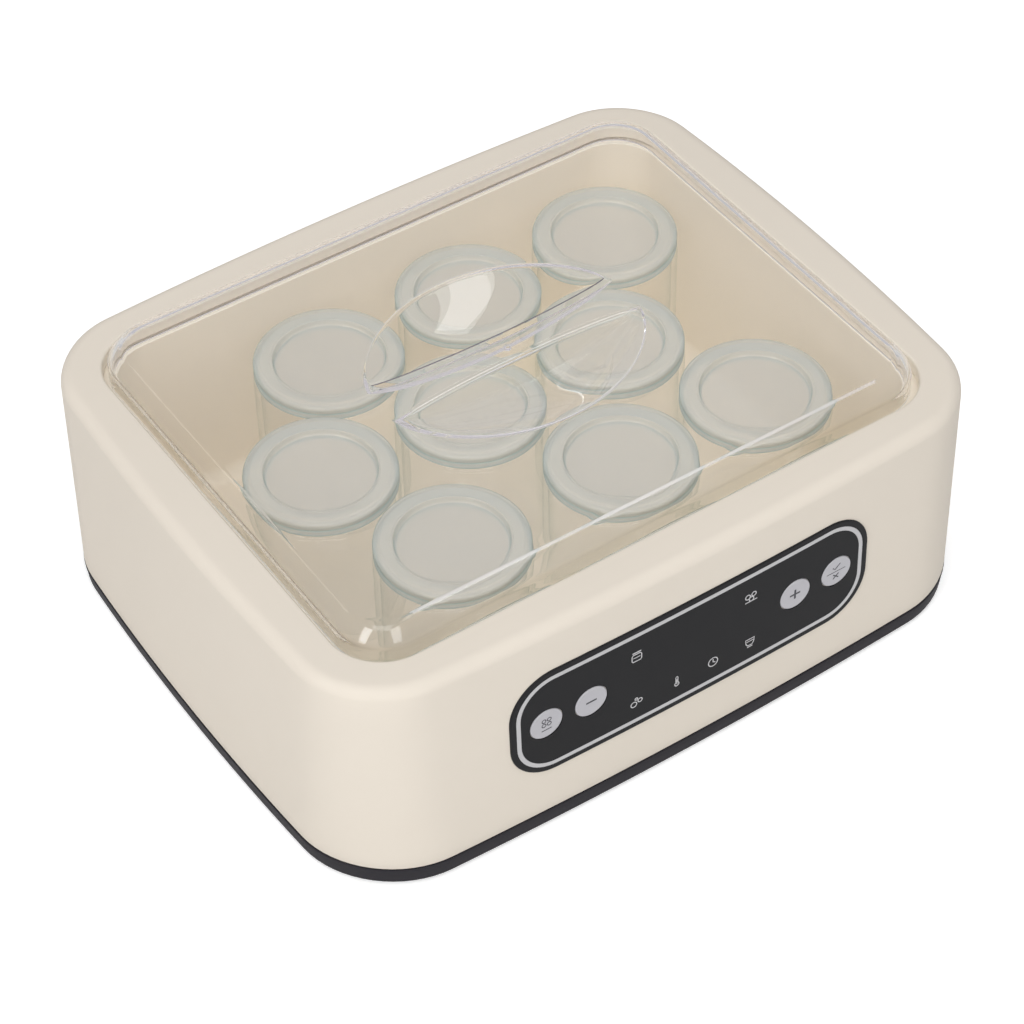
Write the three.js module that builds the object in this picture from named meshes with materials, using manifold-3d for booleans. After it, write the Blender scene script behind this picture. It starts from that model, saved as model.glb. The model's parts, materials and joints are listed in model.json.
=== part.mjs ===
// Countertop yogurt maker: a rectangular cream case with a jar well, a clear lift-off lid,
// nine glass pots with snap lids, a front control panel and a heating plate under the well.
// Units are millimetres, +Z is up, the front panel faces -Y and +X is right. The origin is
// the centre of the footprint on the table, under the feet.
import * as THREE from 'three';
import { mergeVertices } from 'three/addons/utils/BufferGeometryUtils.js';
import Module from 'manifold-3d';

const wasm = await Module();
wasm.setup();

// ---------------------------------------------------------------- driving dimensions
const GAP = 0.3; // clearance between neighbouring pieces

// outer case: a rounded rectangle whose four sides bow gently outwards
const CASE_W = 300.0; // width between side corners at the base
const CASE_D = 243.5; // depth between front and back corners at the base
const BOW_X = 5.56; // how far the left and right sides bow out
const BOW_Y = 4.79; // how far the front and back bow out
const CASE_BASE_R = 39.0; // corner radius at the base
const CASE_TOP_R = 32.3; // corner radius at the top
const DRAFT = 0.030; // inward lean of the sides, mm per mm up
const CASE_TOP = 108.3; // height of the flat top rim
const CASE_ROUND = 4.5; // rounding between sides and top rim
const SIDE_TOP = CASE_TOP - CASE_ROUND;
const CASE_WALL = 3.0;
const FOOT_DROP = 2.0; // how far the feet stand below the base
const BAND_H = 8.1; // height of the charcoal base band
const BAND_TOP = FOOT_DROP + BAND_H;
const BAND_TUCK = 0.62; // the band narrows this much per side towards the table

// opening in the top and the well below it
const OPEN_W = 266.6;
const OPEN_D = 209.8;
const OPEN_R = 22.4;
const LIP_DEPTH = 5.7; // depth of the down-turned lip around the opening
const LIP_WALL = 2.5;
const LEDGE_Z = CASE_TOP - 6.0; // height of the ledge that carries the lid
const WELL_FLOOR = 14.0; // height of the well's floor

// case screws and feet, at [x, y]
const fourCorners = (x, y) => [[x, y], [-x, y], [-x, -y], [x, -y]];
const CORNERS = ['back_right', 'back_left', 'front_left', 'front_right'];
const BOSS_AT = fourCorners(130.8, 102.4);
const FOOT_AT = fourCorners(112, 84);

// control panel and the board behind it
const PANEL_W = 168.2;
const PANEL_H = 53.4;
const PANEL_R = 20.0;
const PANEL_Z = 59.8; // height of the panel's middle
const PANEL_PROUD = 0.7; // stands proud of the case by this much
const CUT_Y = -135; // front end of the panel cutters, clear of the case
const BUTTON_X = { function: -68.3, minus: -48.3, plus: 47.8, confirm: 68.3 };
const BOARD_Y = -113.5; // front face of the control board
const BOARD_T = 1.6; // thickness of the circuit boards
const BOARD_FRONT = BOARD_Y - GAP; // back of whatever stands in front of the board
const POST_X = 74.5;
const POST_AT = [[-POST_X, 33.0], [POST_X, 33.0]]; // [x, z] of the board's posts

// mains inlet in the back wall
const INLET_X = 96;
const INLET_Z = 34;
const INLET_W = 20;
const INLET_H = 10;

// ---------------------------------------------------------------- materials
const MATERIAL = {
  cream: { color: 0xe1d7cd, roughness: 0.55 },
  wellCream: { color: 0xd8cbb8, roughness: 0.5 },
  charcoal: { color: 0x2c2c2f, roughness: 0.5 },
  rubber: { color: 0x1c1c1c, roughness: 0.9 },
  steel: { color: 0xb8bcc0, roughness: 0.35, metalness: 0.9 },
  aluminium: { color: 0xc8cacc, roughness: 0.4, metalness: 0.9 },
  heaterRed: { color: 0xb8442e, roughness: 0.6 },
  insulation: { color: 0xe8e4da, roughness: 0.95 },
  panelBlack: { color: 0x343436, roughness: 0.35 },
  silver: { color: 0xcdcbcd, roughness: 0.3, metalness: 0.5 },
  buttonGrey: { color: 0xb9b8be, roughness: 0.45 },
  boardGreen: { color: 0x1f5a38, roughness: 0.5 },
  darkPlastic: { color: 0x1a1a1c, roughness: 0.4 },
  transformerYellow: { color: 0xd9b23a, roughness: 0.6 },
  wire: { color: 0xd8d4cc, roughness: 0.6 },
  clear: { color: 0xf2f4f6, roughness: 0.05, transparent: true, opacity: 0.3 },
  glass: { color: 0xe6efec, roughness: 0.05, transparent: true, opacity: 0.35 },
  frosted: { color: 0xc4d4d2, roughness: 0.3, transparent: true, opacity: 0.65 },
};

// ---------------------------------------------------------------- meshes and solids
const root = new THREE.Group();

function merged(geometry) {
  const copy = geometry.clone();
  copy.deleteAttribute('normal');
  copy.deleteAttribute('uv');
  return mergeVertices(copy, 1e-4);
}

function add(name, geometry, material) {
  const mesh = new THREE.Mesh(merged(geometry), new THREE.MeshStandardMaterial(material));
  mesh.name = name;
  root.add(mesh);
  return mesh;
}

function indexed(positions, indices) {
  const geometry = new THREE.BufferGeometry();
  geometry.setAttribute('position', new THREE.BufferAttribute(new Float32Array(positions), 3));
  geometry.setIndex(new THREE.BufferAttribute(new Uint32Array(indices), 1));
  return geometry;
}

function solid(geometry) {
  const { attributes, index } = merged(geometry);
  return new wasm.Manifold(new wasm.Mesh({
    numProp: 3,
    vertProperties: new Float32Array(attributes.position.array),
    triVerts: new Uint32Array(index.array),
  }));
}

function toGeometry(body) {
  const mesh = body.getMesh();
  return indexed(mesh.vertProperties, mesh.triVerts);
}

const join = (body, ...parts) => parts.reduce((sum, part) => sum.add(solid(part)), body);
const cut = (body, ...parts) => parts.reduce((rest, part) => rest.subtract(solid(part)), body);

// ---------------------------------------------------------------- outlines
// rounded rectangle with outward bowed sides, counter-clockwise
function bowedRect(width, depth, radius, bowX, bowY, arcSteps, sideSteps) {
  const halfW = width / 2;
  const halfD = depth / 2;
  const points = [];
  const centres = fourCorners(halfW - radius, halfD - radius);
  const onArc = (corner, degrees) => {
    const angle = degrees * Math.PI / 180;
    const [x, y] = centres[corner];
    return [x + radius * Math.cos(angle), y + radius * Math.sin(angle)];
  };
  for (let i = 0; i < 4; i++) {
    for (let k = 0; k <= arcSteps; k++) points.push(onArc(i, 90 * i + 90 * k / arcSteps));
    const from = onArc(i, 90 * i + 90);
    const next = (i + 1) % 4;
    const to = onArc(next, 90 * next);
    for (let k = 1; k < sideSteps; k++) {
      points.push(from.map((start, axis) => start + (to[axis] - start) * k / sideSteps));
    }
  }
  return points.map(([x, y]) => [
    x + (x / halfW) * bowX * (1 - (y / halfD) ** 2),
    y + (y / halfD) * bowY * (1 - (x / halfW) ** 2),
  ]);
}

const vectors = (points) => points.map(([x, y]) => new THREE.Vector2(x, y));

function closedShape(points) {
  const shape = new THREE.Shape(vectors(points));
  shape.closePath();
  return shape;
}

const roundedShape = (width, height, radius, arcSteps = 6) =>
  closedShape(bowedRect(width, height, radius, 0, 0, arcSteps, 1));

// A ring is [points, z].
const roundedRing = (width, depth, radius, z) =>
  [bowedRect(width, depth, radius, 0, 0, 5, 2), z];

// ring with the case's bows, the base outline grown by `grow` on every side
const bowedRing = (grow, radius, z) =>
  [bowedRect(CASE_W + 2 * grow, CASE_D + 2 * grow, radius, BOW_X, BOW_Y, 5, 4), z];

// ring of the case's outside at height z, moved outwards by `offset`
function caseRing(z, offset = 0) {
  const rise = z - BAND_TOP;
  const radius = CASE_BASE_R + (CASE_TOP_R - CASE_BASE_R) * rise / (SIDE_TOP - BAND_TOP);
  return bowedRing(offset - DRAFT * rise, radius + offset, z);
}

function caseFrontY(x, z, offset = 0) {
  const grow = offset - DRAFT * (z - BAND_TOP);
  return -(CASE_D / 2 + grow + BOW_Y * (1 - (x / (CASE_W / 2 + grow)) ** 2));
}

// ---------------------------------------------------------------- basic bodies
// closed body through a stack of rings, from the bottom to the top
function loft(rings, centreY = 0) {
  const count = rings[0][0].length;
  const positions = [];
  const indices = [];
  for (const [points, z] of rings) {
    for (const [x, y] of points) positions.push(x, y + centreY, z);
  }
  for (let k = 0; k + 1 < rings.length; k++) {
    for (let i = 0; i < count; i++) {
      const low = k * count + i;
      const lowNext = k * count + (i + 1) % count;
      indices.push(low, lowNext, lowNext + count, low, lowNext + count, low + count);
    }
  }
  const cap = (k, up) => {
    const centre = positions.length / 3;
    positions.push(0, centreY, rings[k][1]);
    for (let i = 0; i < count; i++) {
      const here = k * count + i;
      const next = k * count + (i + 1) % count;
      indices.push(centre, ...(up ? [here, next] : [next, here]));
    }
  };
  cap(0, false);
  cap(rings.length - 1, true);
  return indexed(positions, indices);
}

// profiles are [radius, height along the axis]
const latheY = (profile, segments) => new THREE.LatheGeometry(vectors(profile), segments);
const latheZ = (profile, segments) => latheY(profile, segments).rotateX(Math.PI / 2);

const box = (width, depth, height, x, y, z) =>
  new THREE.BoxGeometry(width, depth, height).translate(x, y, z);

const cylinderZ = (radius, height, x, y, bottom, segments) =>
  new THREE.CylinderGeometry(radius, radius, height, segments)
    .rotateX(Math.PI / 2)
    .translate(x, y, bottom + height / 2);

const cylinderY = (radius, y0, y1, x, z, segments) =>
  new THREE.CylinderGeometry(radius, radius, y1 - y0, segments).translate(x, (y0 + y1) / 2, z);

const plate = (shape, z0, z1) =>
  new THREE.ExtrudeGeometry(shape, { depth: z1 - z0, bevelEnabled: false }).translate(0, 0, z0);

// prism centred on the panel: outline in X and Z, running from y0 to y1
const frontPrism = (shape, y0, y1) =>
  new THREE.ExtrudeGeometry(shape, { depth: y1 - y0, bevelEnabled: false })
    .rotateX(Math.PI / 2)
    .translate(0, y1, PANEL_Z);

// eight-sided oval lead along a smooth path
function lead(points, width, height, steps) {
  const section = [];
  for (let i = 0; i < 8; i++) {
    const angle = i * Math.PI / 4;
    section.push([Math.cos(angle) * width / 2, Math.sin(angle) * height / 2]);
  }
  const stations = points.map((point) => new THREE.Vector3(...point));
  const extrudePath = new THREE.CatmullRomCurve3(stations, false, 'centripetal');
  return new THREE.ExtrudeGeometry(closedShape(section), {
    steps, bevelEnabled: false, extrudePath,
  });
}

// ---------------------------------------------------------------- outer case
function outerCase() {
  const rings = [caseRing(BAND_TOP + GAP), caseRing(SIDE_TOP)];
  for (const degrees of [30, 60, 90]) {
    const angle = degrees * Math.PI / 180;
    const inset = CASE_ROUND * (1 - Math.cos(angle));
    const grow = -DRAFT * (SIDE_TOP - BAND_TOP) - inset;
    rings.push(bowedRing(grow, CASE_TOP_R - inset, SIDE_TOP + CASE_ROUND * Math.sin(angle)));
  }
  const hollow = [BAND_TOP - 1, CASE_TOP - CASE_WALL].map((z) => caseRing(z, -CASE_WALL));
  let body = cut(solid(loft(rings)), loft(hollow));

  const opening = (grow, z) =>
    roundedRing(OPEN_W + 2 * grow, OPEN_D + 2 * grow, OPEN_R + grow, z);
  body = join(
    body,
    // down-turned lip round the opening
    loft([opening(LIP_WALL, CASE_TOP - LIP_DEPTH), opening(LIP_WALL, CASE_TOP - 1)]),
    // four screw bosses in the corners
    ...BOSS_AT.map(([x, y]) => cylinderZ(4, CASE_TOP - 2 - 8.3, x, y, 8.3, 12)),
    // two posts that carry the control board
    ...POST_AT.map(([x, z]) => cylinderY(2.6, caseFrontY(x, z) + 1.2, BOARD_FRONT, x, z, 10)),
  );
  body = cut(
    body,
    loft([opening(0, CASE_TOP - 20), opening(0, CASE_TOP + 5)]),
    // screw holes in the bosses and posts
    ...BOSS_AT.map(([x, y]) => cylinderZ(1.6, 13, x, y, 7, 8)),
    ...POST_AT.map(([x, z]) => cylinderY(1.2, BOARD_Y - 6, BOARD_Y + 2, x, z, 8)),
  );

  // shallow seat for the control panel, which leaves what lies deeper than 1.7
  const seat = roundedShape(PANEL_W + 2 * GAP, PANEL_H + 2 * GAP, PANEL_R + GAP);
  const kept = loft([caseRing(12, -1.7), caseRing(100, -1.7)]);
  body = body.subtract(cut(solid(frontPrism(seat, CUT_Y, -110)), kept));

  const panelWindow = roundedShape(PANEL_W - 18, PANEL_H - 12, 14);
  return toGeometry(cut(
    body,
    frontPrism(panelWindow, CUT_Y, -119),
    // mains inlet cut-out in the back
    box(INLET_W + 2 * GAP, 20, INLET_H + 2 * GAP, INLET_X, 122, INLET_Z),
  ));
}
add('outer_case', outerCase(), MATERIAL.cream);

// ---------------------------------------------------------------- jar well
function innerWell() {
  const width = 257.2; // inside the well at the top
  const depth = 200.4;
  const radius = 20.0;
  const wall = 2.0;
  const floorLean = 1.5; // the well is this much narrower per side at its floor
  const bendLean = floorLean * (LEDGE_Z - (WELL_FLOOR + 6)) / (LEDGE_Z - WELL_FLOOR);
  const ring = (grow, z) => roundedRing(width + 2 * grow, depth + 2 * grow, radius + grow, z);
  const ledge = (z) => roundedRing(width + 14, depth + 14, radius + 9, z);

  const outside = loft([
    ring(wall - 6 - floorLean, WELL_FLOOR - wall),
    ring(wall - 1.8 - floorLean, WELL_FLOOR + 0.6),
    ring(wall - bendLean, WELL_FLOOR + 6),
    ring(wall, LEDGE_Z - 1),
  ]);
  const inside = loft([
    ring(-5.5 - floorLean, WELL_FLOOR),
    ring(-1.6 - floorLean, WELL_FLOOR + 2.2),
    ring(-bendLean, WELL_FLOOR + 6.5),
    ring(0, LEDGE_Z + 1),
  ]);
  const body = join(solid(outside), loft([ledge(LEDGE_Z - 2.5), ledge(LEDGE_Z)]));
  return toGeometry(cut(body, inside));
}
add('inner_well', innerWell(), MATERIAL.wellCream);

// ---------------------------------------------------------------- base tray, feet and screws
function baseTray() {
  const ring = (z, inset) => bowedRing(-inset, CASE_BASE_R - inset, z);
  const spigot = CASE_WALL + GAP; // inset of the rim that stands inside the case
  const cavity = spigot + 2.2;
  const body = join(
    solid(loft([ring(FOOT_DROP, BAND_TUCK), ring(BAND_TOP, 0)])),
    loft([ring(BAND_TOP - 1, spigot), ring(BAND_TOP + 4, spigot + 0.15)]),
  );
  const tray = cut(body, loft([ring(FOOT_DROP + 2.5, cavity), ring(BAND_TOP + 6, cavity)]));
  return toGeometry(cut(
    join(tray, ...BOSS_AT.map(([x, y]) => cylinderZ(5.6, 5.5, x, y, FOOT_DROP + 0.5, 12))),
    // screw-head recess and clearance hole in each boss
    ...BOSS_AT.flatMap(([x, y]) => [
      cylinderZ(3.5, 4, x, y, FOOT_DROP - 1.0, 12),
      cylinderZ(1.8, 10, x, y, FOOT_DROP, 8),
    ]),
    // pockets for the feet
    ...FOOT_AT.map(([x, y]) => cylinderZ(8.3, 3, x, y, FOOT_DROP - 1.7, 20)),
  ));
}
add('base_tray', baseTray(), MATERIAL.charcoal);

// [radius, z]
const FOOT_PROFILE = [[0, 0], [7.2, 0], [8, 0.9], [8, 3.0], [0, 3.0]];
const CASE_SCREW_PROFILE = [[0, 2.6], [3.0, 2.6], [3.0, 4.6], [1.3, 4.6], [1.3, 15], [0, 16]];
CORNERS.forEach((corner, i) => {
  add(`foot_${corner}`, latheZ(FOOT_PROFILE, 20), MATERIAL.rubber)
    .position.set(...FOOT_AT[i], 0);
  add(`case_screw_${corner}`, latheZ(CASE_SCREW_PROFILE, 10), MATERIAL.steel)
    .position.set(...BOSS_AT[i], 0);
});

// ---------------------------------------------------------------- heating, under the well
// flat heating cord laid in a serpentine of runs along X
function heatingElement() {
  const runs = 7;
  const pitch = 26;
  const halfLength = 104;
  const halfWidth = 2.0;
  const direction = (run) => (run % 2 ? -1 : 1);
  const line = [];
  for (let i = 0; i < runs; i++) {
    const y = -pitch * (runs - 1) / 2 + i * pitch;
    line.push([-halfLength * direction(i), y], [halfLength * direction(i), y]);
  }
  const edge = (sign) => line.map(([x, y], i) => {
    const looseEnd = i === 0 || i === line.length - 1;
    const shift = sign * halfWidth;
    return [looseEnd ? x : x - shift, y + shift * direction(Math.floor(i / 2))];
  });
  return plate(closedShape([...edge(1), ...edge(-1).reverse()]), 8.3, 10.4);
}
add('heat_spreader_plate', plate(roundedShape(236, 180, 12, 3), 10.7, 11.7), MATERIAL.aluminium);
add('heating_element', heatingElement(), MATERIAL.heaterRed);
add('insulation_pad', plate(roundedShape(232, 172, 10, 3), 4.8, 8.0), MATERIAL.insulation);

const fuse = cylinderZ(1.9, 11, 0, 0, 0, 10).rotateY(Math.PI / 2).translate(95, 93.6, 7.6);
add('thermal_fuse', fuse, MATERIAL.steel);
const SENSOR_PROFILE = [[0, 0], [2.2, 0], [2.2, 5], [1.4, 6.2], [0, 6.2]];
add('temperature_sensor', latheZ(SENSOR_PROFILE, 10), MATERIAL.aluminium)
  .position.set(-100, -93.4, 5.2);

// ---------------------------------------------------------------- control board
function controlBoard() {
  const board = frontPrism(roundedShape(158, 55, 2, 2), BOARD_Y, BOARD_Y + BOARD_T);
  const holes = POST_AT.map(([x, z]) => cylinderY(1.6, BOARD_Y - 1, BOARD_Y + 3, x, z, 8));
  return toGeometry(cut(solid(board), ...holes));
}
add('control_board', controlBoard(), MATERIAL.boardGreen);

const SCREW_HEAD = 1.6; // thickness of the board screws' heads
const BOARD_SCREW_PROFILE = [
  [0, -7.6], [1.0, -7], [1.0, -SCREW_HEAD], [2.6, -SCREW_HEAD], [2.6, 0], [0, 0],
];
POST_AT.forEach(([x, z], i) => {
  const screw = latheY(BOARD_SCREW_PROFILE, 10)
    .translate(x, BOARD_Y + BOARD_T + SCREW_HEAD + GAP, z);
  add(`board_screw_${i ? 'right' : 'left'}`, screw, MATERIAL.steel);
});

const DISPLAY_T = 6.2;
const display = box(34, DISPLAY_T, 17, 0, BOARD_FRONT - DISPLAY_T / 2, PANEL_Z + 1);
add('display_module', display, MATERIAL.darkPlastic);
const buzzer = cylinderY(4.5, BOARD_FRONT - 5, BOARD_FRONT, 28, PANEL_Z - 8, 14);
add('buzzer', buzzer, MATERIAL.darkPlastic);

const SWITCH_TIP = BOARD_FRONT - 4.3;
function boardSwitch(x) {
  const base = box(6, 3.4, 6, x, BOARD_FRONT - 1.7, PANEL_Z);
  const plunger = cylinderY(1.7, SWITCH_TIP, BOARD_FRONT - 3, x, PANEL_Z, 10);
  return toGeometry(join(solid(base), plunger));
}
for (const [name, x] of Object.entries(BUTTON_X)) {
  add(`switch_${name}`, boardSwitch(x), MATERIAL.darkPlastic);
}

// ---------------------------------------------------------------- panel and buttons
const RING_INSET = 2.7; // silver ring, inwards from the panel's edge
const RING_W = 1.9;
const PANEL_FIT = 0.15; // clearance between frame, ring and face
const PANEL_BACK = -0.05; // back of the ring and face, relative to the case's outside
const BUTTON_R = 7.2;
const BUTTON_TRAVEL = 0.5;

// skin that follows the case between two offsets from its outside
const caseSkin = (outer, inner) => cut(
  solid(loft([caseRing(14, outer), caseRing(102, outer)])),
  loft([caseRing(12, inner), caseRing(104, inner)]),
);
function panelPrism(inset) {
  const shape = roundedShape(PANEL_W - 2 * inset, PANEL_H - 2 * inset, PANEL_R - inset);
  return solid(frontPrism(shape, CUT_Y, -112));
}

function panelFrame() {
  const recess = caseSkin(PANEL_PROUD + 1, -0.35).intersect(panelPrism(RING_INSET));
  const frame = caseSkin(PANEL_PROUD, -1.4).intersect(panelPrism(0));
  return toGeometry(frame.subtract(recess).subtract(panelPrism(6.8)));
}

function panelRing() {
  const outline = panelPrism(RING_INSET + PANEL_FIT).subtract(panelPrism(RING_INSET + RING_W));
  return toGeometry(caseSkin(PANEL_PROUD, PANEL_BACK).intersect(outline));
}

function panelFace() {
  const outline = panelPrism(RING_INSET + RING_W + PANEL_FIT);
  const holes = Object.values(BUTTON_X)
    .map((x) => cylinderY(BUTTON_R + GAP, CUT_Y, -112, x, PANEL_Z, 24));
  return toGeometry(cut(caseSkin(PANEL_PROUD, PANEL_BACK).intersect(outline), ...holes));
}

function button(x) {
  const front = caseFrontY(x, PANEL_Z, PANEL_PROUD) - 0.1;
  const stemEnd = SWITCH_TIP - BUTTON_TRAVEL - GAP;
  const cap = cylinderY(BUTTON_R, front, front + 2.2, x, PANEL_Z, 24);
  return toGeometry(join(solid(cap), cylinderY(2.2, front + 1.5, stemEnd, x, PANEL_Z, 10)));
}

add('panel_frame', panelFrame(), MATERIAL.panelBlack);
add('panel_ring', panelRing(), MATERIAL.silver);
add('panel_face', panelFace(), MATERIAL.panelBlack);
for (const [name, x] of Object.entries(BUTTON_X)) {
  add(`button_${name}`, button(x), MATERIAL.buttonGrey);
}

// ---------------------------------------------------------------- power side, behind the well
const POWER_Y = 106.6; // middle of the power board's thickness
const POWER_BACK = POWER_Y + BOARD_T / 2 + GAP; // front of the parts behind the board
const BACK_Y = -caseFrontY(INLET_X, INLET_Z); // outside of the back wall at the inlet

// two-pin inlet with a flange outside the wall
function mainsInlet() {
  const body = join(
    solid(box(INLET_W, 14.4, INLET_H, INLET_X, BACK_Y - 5.9, INLET_Z)),
    box(25, 1.0, 15, INLET_X, BACK_Y + 1.4, INLET_Z),
  );
  const pins = [-4.3, 4.3]
    .map((x) => cylinderY(1.2, BACK_Y - 10, BACK_Y - 1.5, INLET_X + x, INLET_Z, 8));
  const socket = box(16, 13, 6.4, INLET_X, BACK_Y - 2, INLET_Z);
  return toGeometry(join(cut(body, socket), ...pins));
}

// lead paths: [x, y, z]
const MAINS_PATH = [
  [INLET_X, BACK_Y - 15.0, INLET_Z], [INLET_X - 8, BACK_Y - 15.2, INLET_Z],
  [76, POWER_Y + 1.4, 38], [64.8, POWER_Y, 42],
];
const HEATER_PATH = [
  [-20, POWER_Y + 0.5, 26.4], [-20, POWER_Y + 0.6, 18],
  [-20, 103, 9], [-20, 98, 7.2], [-20, 91.5, 9.4],
];
// from the control board round the right side to the power board
const CONTROL_PATH = [
  [60, -111, 30.6], [72, -110.5, 20], [100, -106, 10], [117, -97, 7.4], [123.6, -82, 7],
  [123.6, 0, 7], [123.6, 82, 7], [115, 98, 7.6], [86, 105.4, 14], [60, 106.2, 24.6],
];

add('power_board', box(112, BOARD_T, 46, 8, POWER_Y, 50), MATERIAL.boardGreen);
add('transformer', box(30, 12, 26, -20, POWER_BACK + 6, 52), MATERIAL.transformerYellow);
add('relay', box(16, 11, 13, 30, POWER_BACK + 5.5, 60), MATERIAL.darkPlastic);
add('mains_inlet', mainsInlet(), MATERIAL.darkPlastic);
add('mains_lead', lead(MAINS_PATH, 2.6, 2.6, 8), MATERIAL.wire);
add('heater_lead', lead(HEATER_PATH, 4, 2.2, 12), MATERIAL.wire);
add('control_cable', lead(CONTROL_PATH, 3.2, 3.2, 24), MATERIAL.wire);

// ---------------------------------------------------------------- clear lid
const LID_CY = 0.8; // the lid sits slightly towards the back
const LID_W = 262.2; // outside of the skirt at its foot
const LID_D = 205.4;
const LID_R = 21.0;
const LID_T = 2.4;
const SKIRT_TAPER = 0.6; // the skirt's width and depth shrink this much as it rises
const SKIRT_TOP = 110.2;
const EDGE_Z = CASE_TOP + 9.7; // edge of the raised top
const EDGE_W = 246.2;
const EDGE_D = 191.2;
const EDGE_R = 17.0;
const LID_CROWN = 1.3; // the top is this much higher at its middle

// grip bar between the two scoops
const BAR_CY = 1.8;
const BAR_HALF = 11.7; // half width at its foot
const BAR_LEAN = 0.355; // lean of its walls, mm per mm up
const SCOOP_HALF_LENGTH = 55.3; // along X
const SCOOP_REACH = 35.0; // away from the bar
const SCOOP_DEPTH = 11.0;
const SCOOP_POWER = 0.74; // how the depth fades towards the scoop's two ends
const SCOOP_ARC = 0.65; // fullness of the scoop's curved edge
const SCOOP_ABOVE = 4; // the cutter rises this far above the lid
const SCOOP_STEPS = 12;
const SCOOP_RINGS = 3;

function lidBody(inset, bottom) {
  const ring = (width, depth, radius, z) =>
    roundedRing(width - 2 * inset, depth - 2 * inset, radius - inset, z);
  const width = LID_W - SKIRT_TAPER;
  const depth = LID_D - SKIRT_TAPER;
  const edgeZ = EDGE_Z - inset;
  const rings = [ring(LID_W, LID_D, LID_R, bottom), ring(width, depth, LID_R, SKIRT_TOP)];
  for (const degrees of [30, 60, 90]) {
    const angle = degrees * Math.PI / 180;
    const blend = (from, to) => from + (to - from) * (1 - Math.cos(angle));
    const z = SKIRT_TOP + (edgeZ - SKIRT_TOP) * Math.sin(angle);
    rings.push(ring(blend(width, EDGE_W), blend(depth, EDGE_D), blend(LID_R, EDGE_R), z));
  }
  // crowned top: [size relative to the edge, share of the crown]
  for (const [size, share] of [[0.7, 0.55], [0.35, 0.9]]) {
    rings.push(roundedRing((EDGE_W - 2 * inset) * size, (EDGE_D - 2 * inset) * size,
      EDGE_R * size, edgeZ + LID_CROWN * share));
  }
  return solid(loft(rings, LID_CY));
}

// Cutter for a dish-shaped finger scoop, behind the bar (side 1) or in front of it (side -1).
// Its flat wall is the side of the grip bar and leans towards the bar as it rises.
function scoop(side, grow) {
  const halfLength = SCOOP_HALF_LENGTH + grow;
  const reach = SCOOP_REACH + grow;
  const fullDepth = SCOOP_DEPTH + grow;
  const crownZ = EDGE_Z + LID_CROWN;
  const top = crownZ + SCOOP_ABOVE;
  const positions = [];
  const indices = [];
  // y is measured from the foot of the bar, away from it
  const vertex = (x, y, z) => {
    positions.push(x, BAR_CY + side * (BAR_HALF - grow + y), z);
    return positions.length / 3 - 1;
  };
  const triangle = (a, b, c) => indices.push(a, ...(side > 0 ? [c, b] : [b, c]));
  const quad = (a, b, c, d) => {
    triangle(a, b, c);
    triangle(a, c, d);
  };

  // half rings of the bowl round the middle of the bar's foot
  const centre = { id: vertex(0, 0, crownZ - fullDepth), x: 0, depth: fullDepth };
  const rings = [];
  const upper = []; // the outermost ring again, at the top of the cutter
  for (let j = 1; j <= SCOOP_RINGS; j++) {
    const fraction = 1 - (1 - j / SCOOP_RINGS) ** 1.3;
    const ring = [];
    for (let i = 0; i <= SCOOP_STEPS; i++) {
      const angle = Math.PI * i / SCOOP_STEPS;
      const x = halfLength * fraction * Math.cos(angle);
      const across = fraction * Math.sin(angle);
      const taper = Math.max(1 - (x / halfLength) ** 2, 1e-9);
      const y = reach * across * taper ** (SCOOP_ARC - 0.5);
      const fade = Math.cos(Math.PI / 2 * Math.min(across / Math.sqrt(taper), 1));
      const depth = fullDepth * taper ** SCOOP_POWER * fade;
      ring.push({ id: vertex(x, y, crownZ - depth - 0.001), x, depth });
      if (j === SCOOP_RINGS) upper.push(vertex(x, y, top));
    }
    rings.push(ring);
  }
  const rim = rings.at(-1);
  const middle = vertex(0, reach * 0.2, top);
  for (let i = 0; i < SCOOP_STEPS; i++) {
    triangle(centre.id, rings[0][i].id, rings[0][i + 1].id);
    for (let j = 0; j + 1 < SCOOP_RINGS; j++) {
      const [near, far] = [rings[j], rings[j + 1]];
      quad(near[i].id, far[i].id, far[i + 1].id, near[i + 1].id);
    }
    quad(rim[i].id, upper[i], upper[i + 1], rim[i + 1].id);
    triangle(middle, upper[i + 1], upper[i]);
  }

  // leaning wall from the foot line up to the top of the cut
  const starts = rings.map((ring) => ring[0]).reverse();
  const foot = [...starts, centre, ...rings.map((ring) => ring.at(-1))];
  const inner = foot.slice(1, -1)
    .map(({ x, depth }) => vertex(x, -BAR_LEAN * (depth + SCOOP_ABOVE), top));
  const crest = [upper[0], ...inner, upper.at(-1)];
  for (let k = 0; k + 1 < foot.length; k++) {
    quad(crest[k], foot[k].id, foot[k + 1].id, crest[k + 1]);
    triangle(middle, crest[k], crest[k + 1]);
  }
  return solid(indexed(positions, indices));
}

const scoopedLid = (inset, bottom) =>
  lidBody(inset, bottom).subtract(scoop(1, inset)).subtract(scoop(-1, inset));
const clearLid = scoopedLid(0, LEDGE_Z + GAP).subtract(scoopedLid(LID_T, LEDGE_Z - 2));
add('clear_lid', toGeometry(clearLid), MATERIAL.clear);

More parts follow.
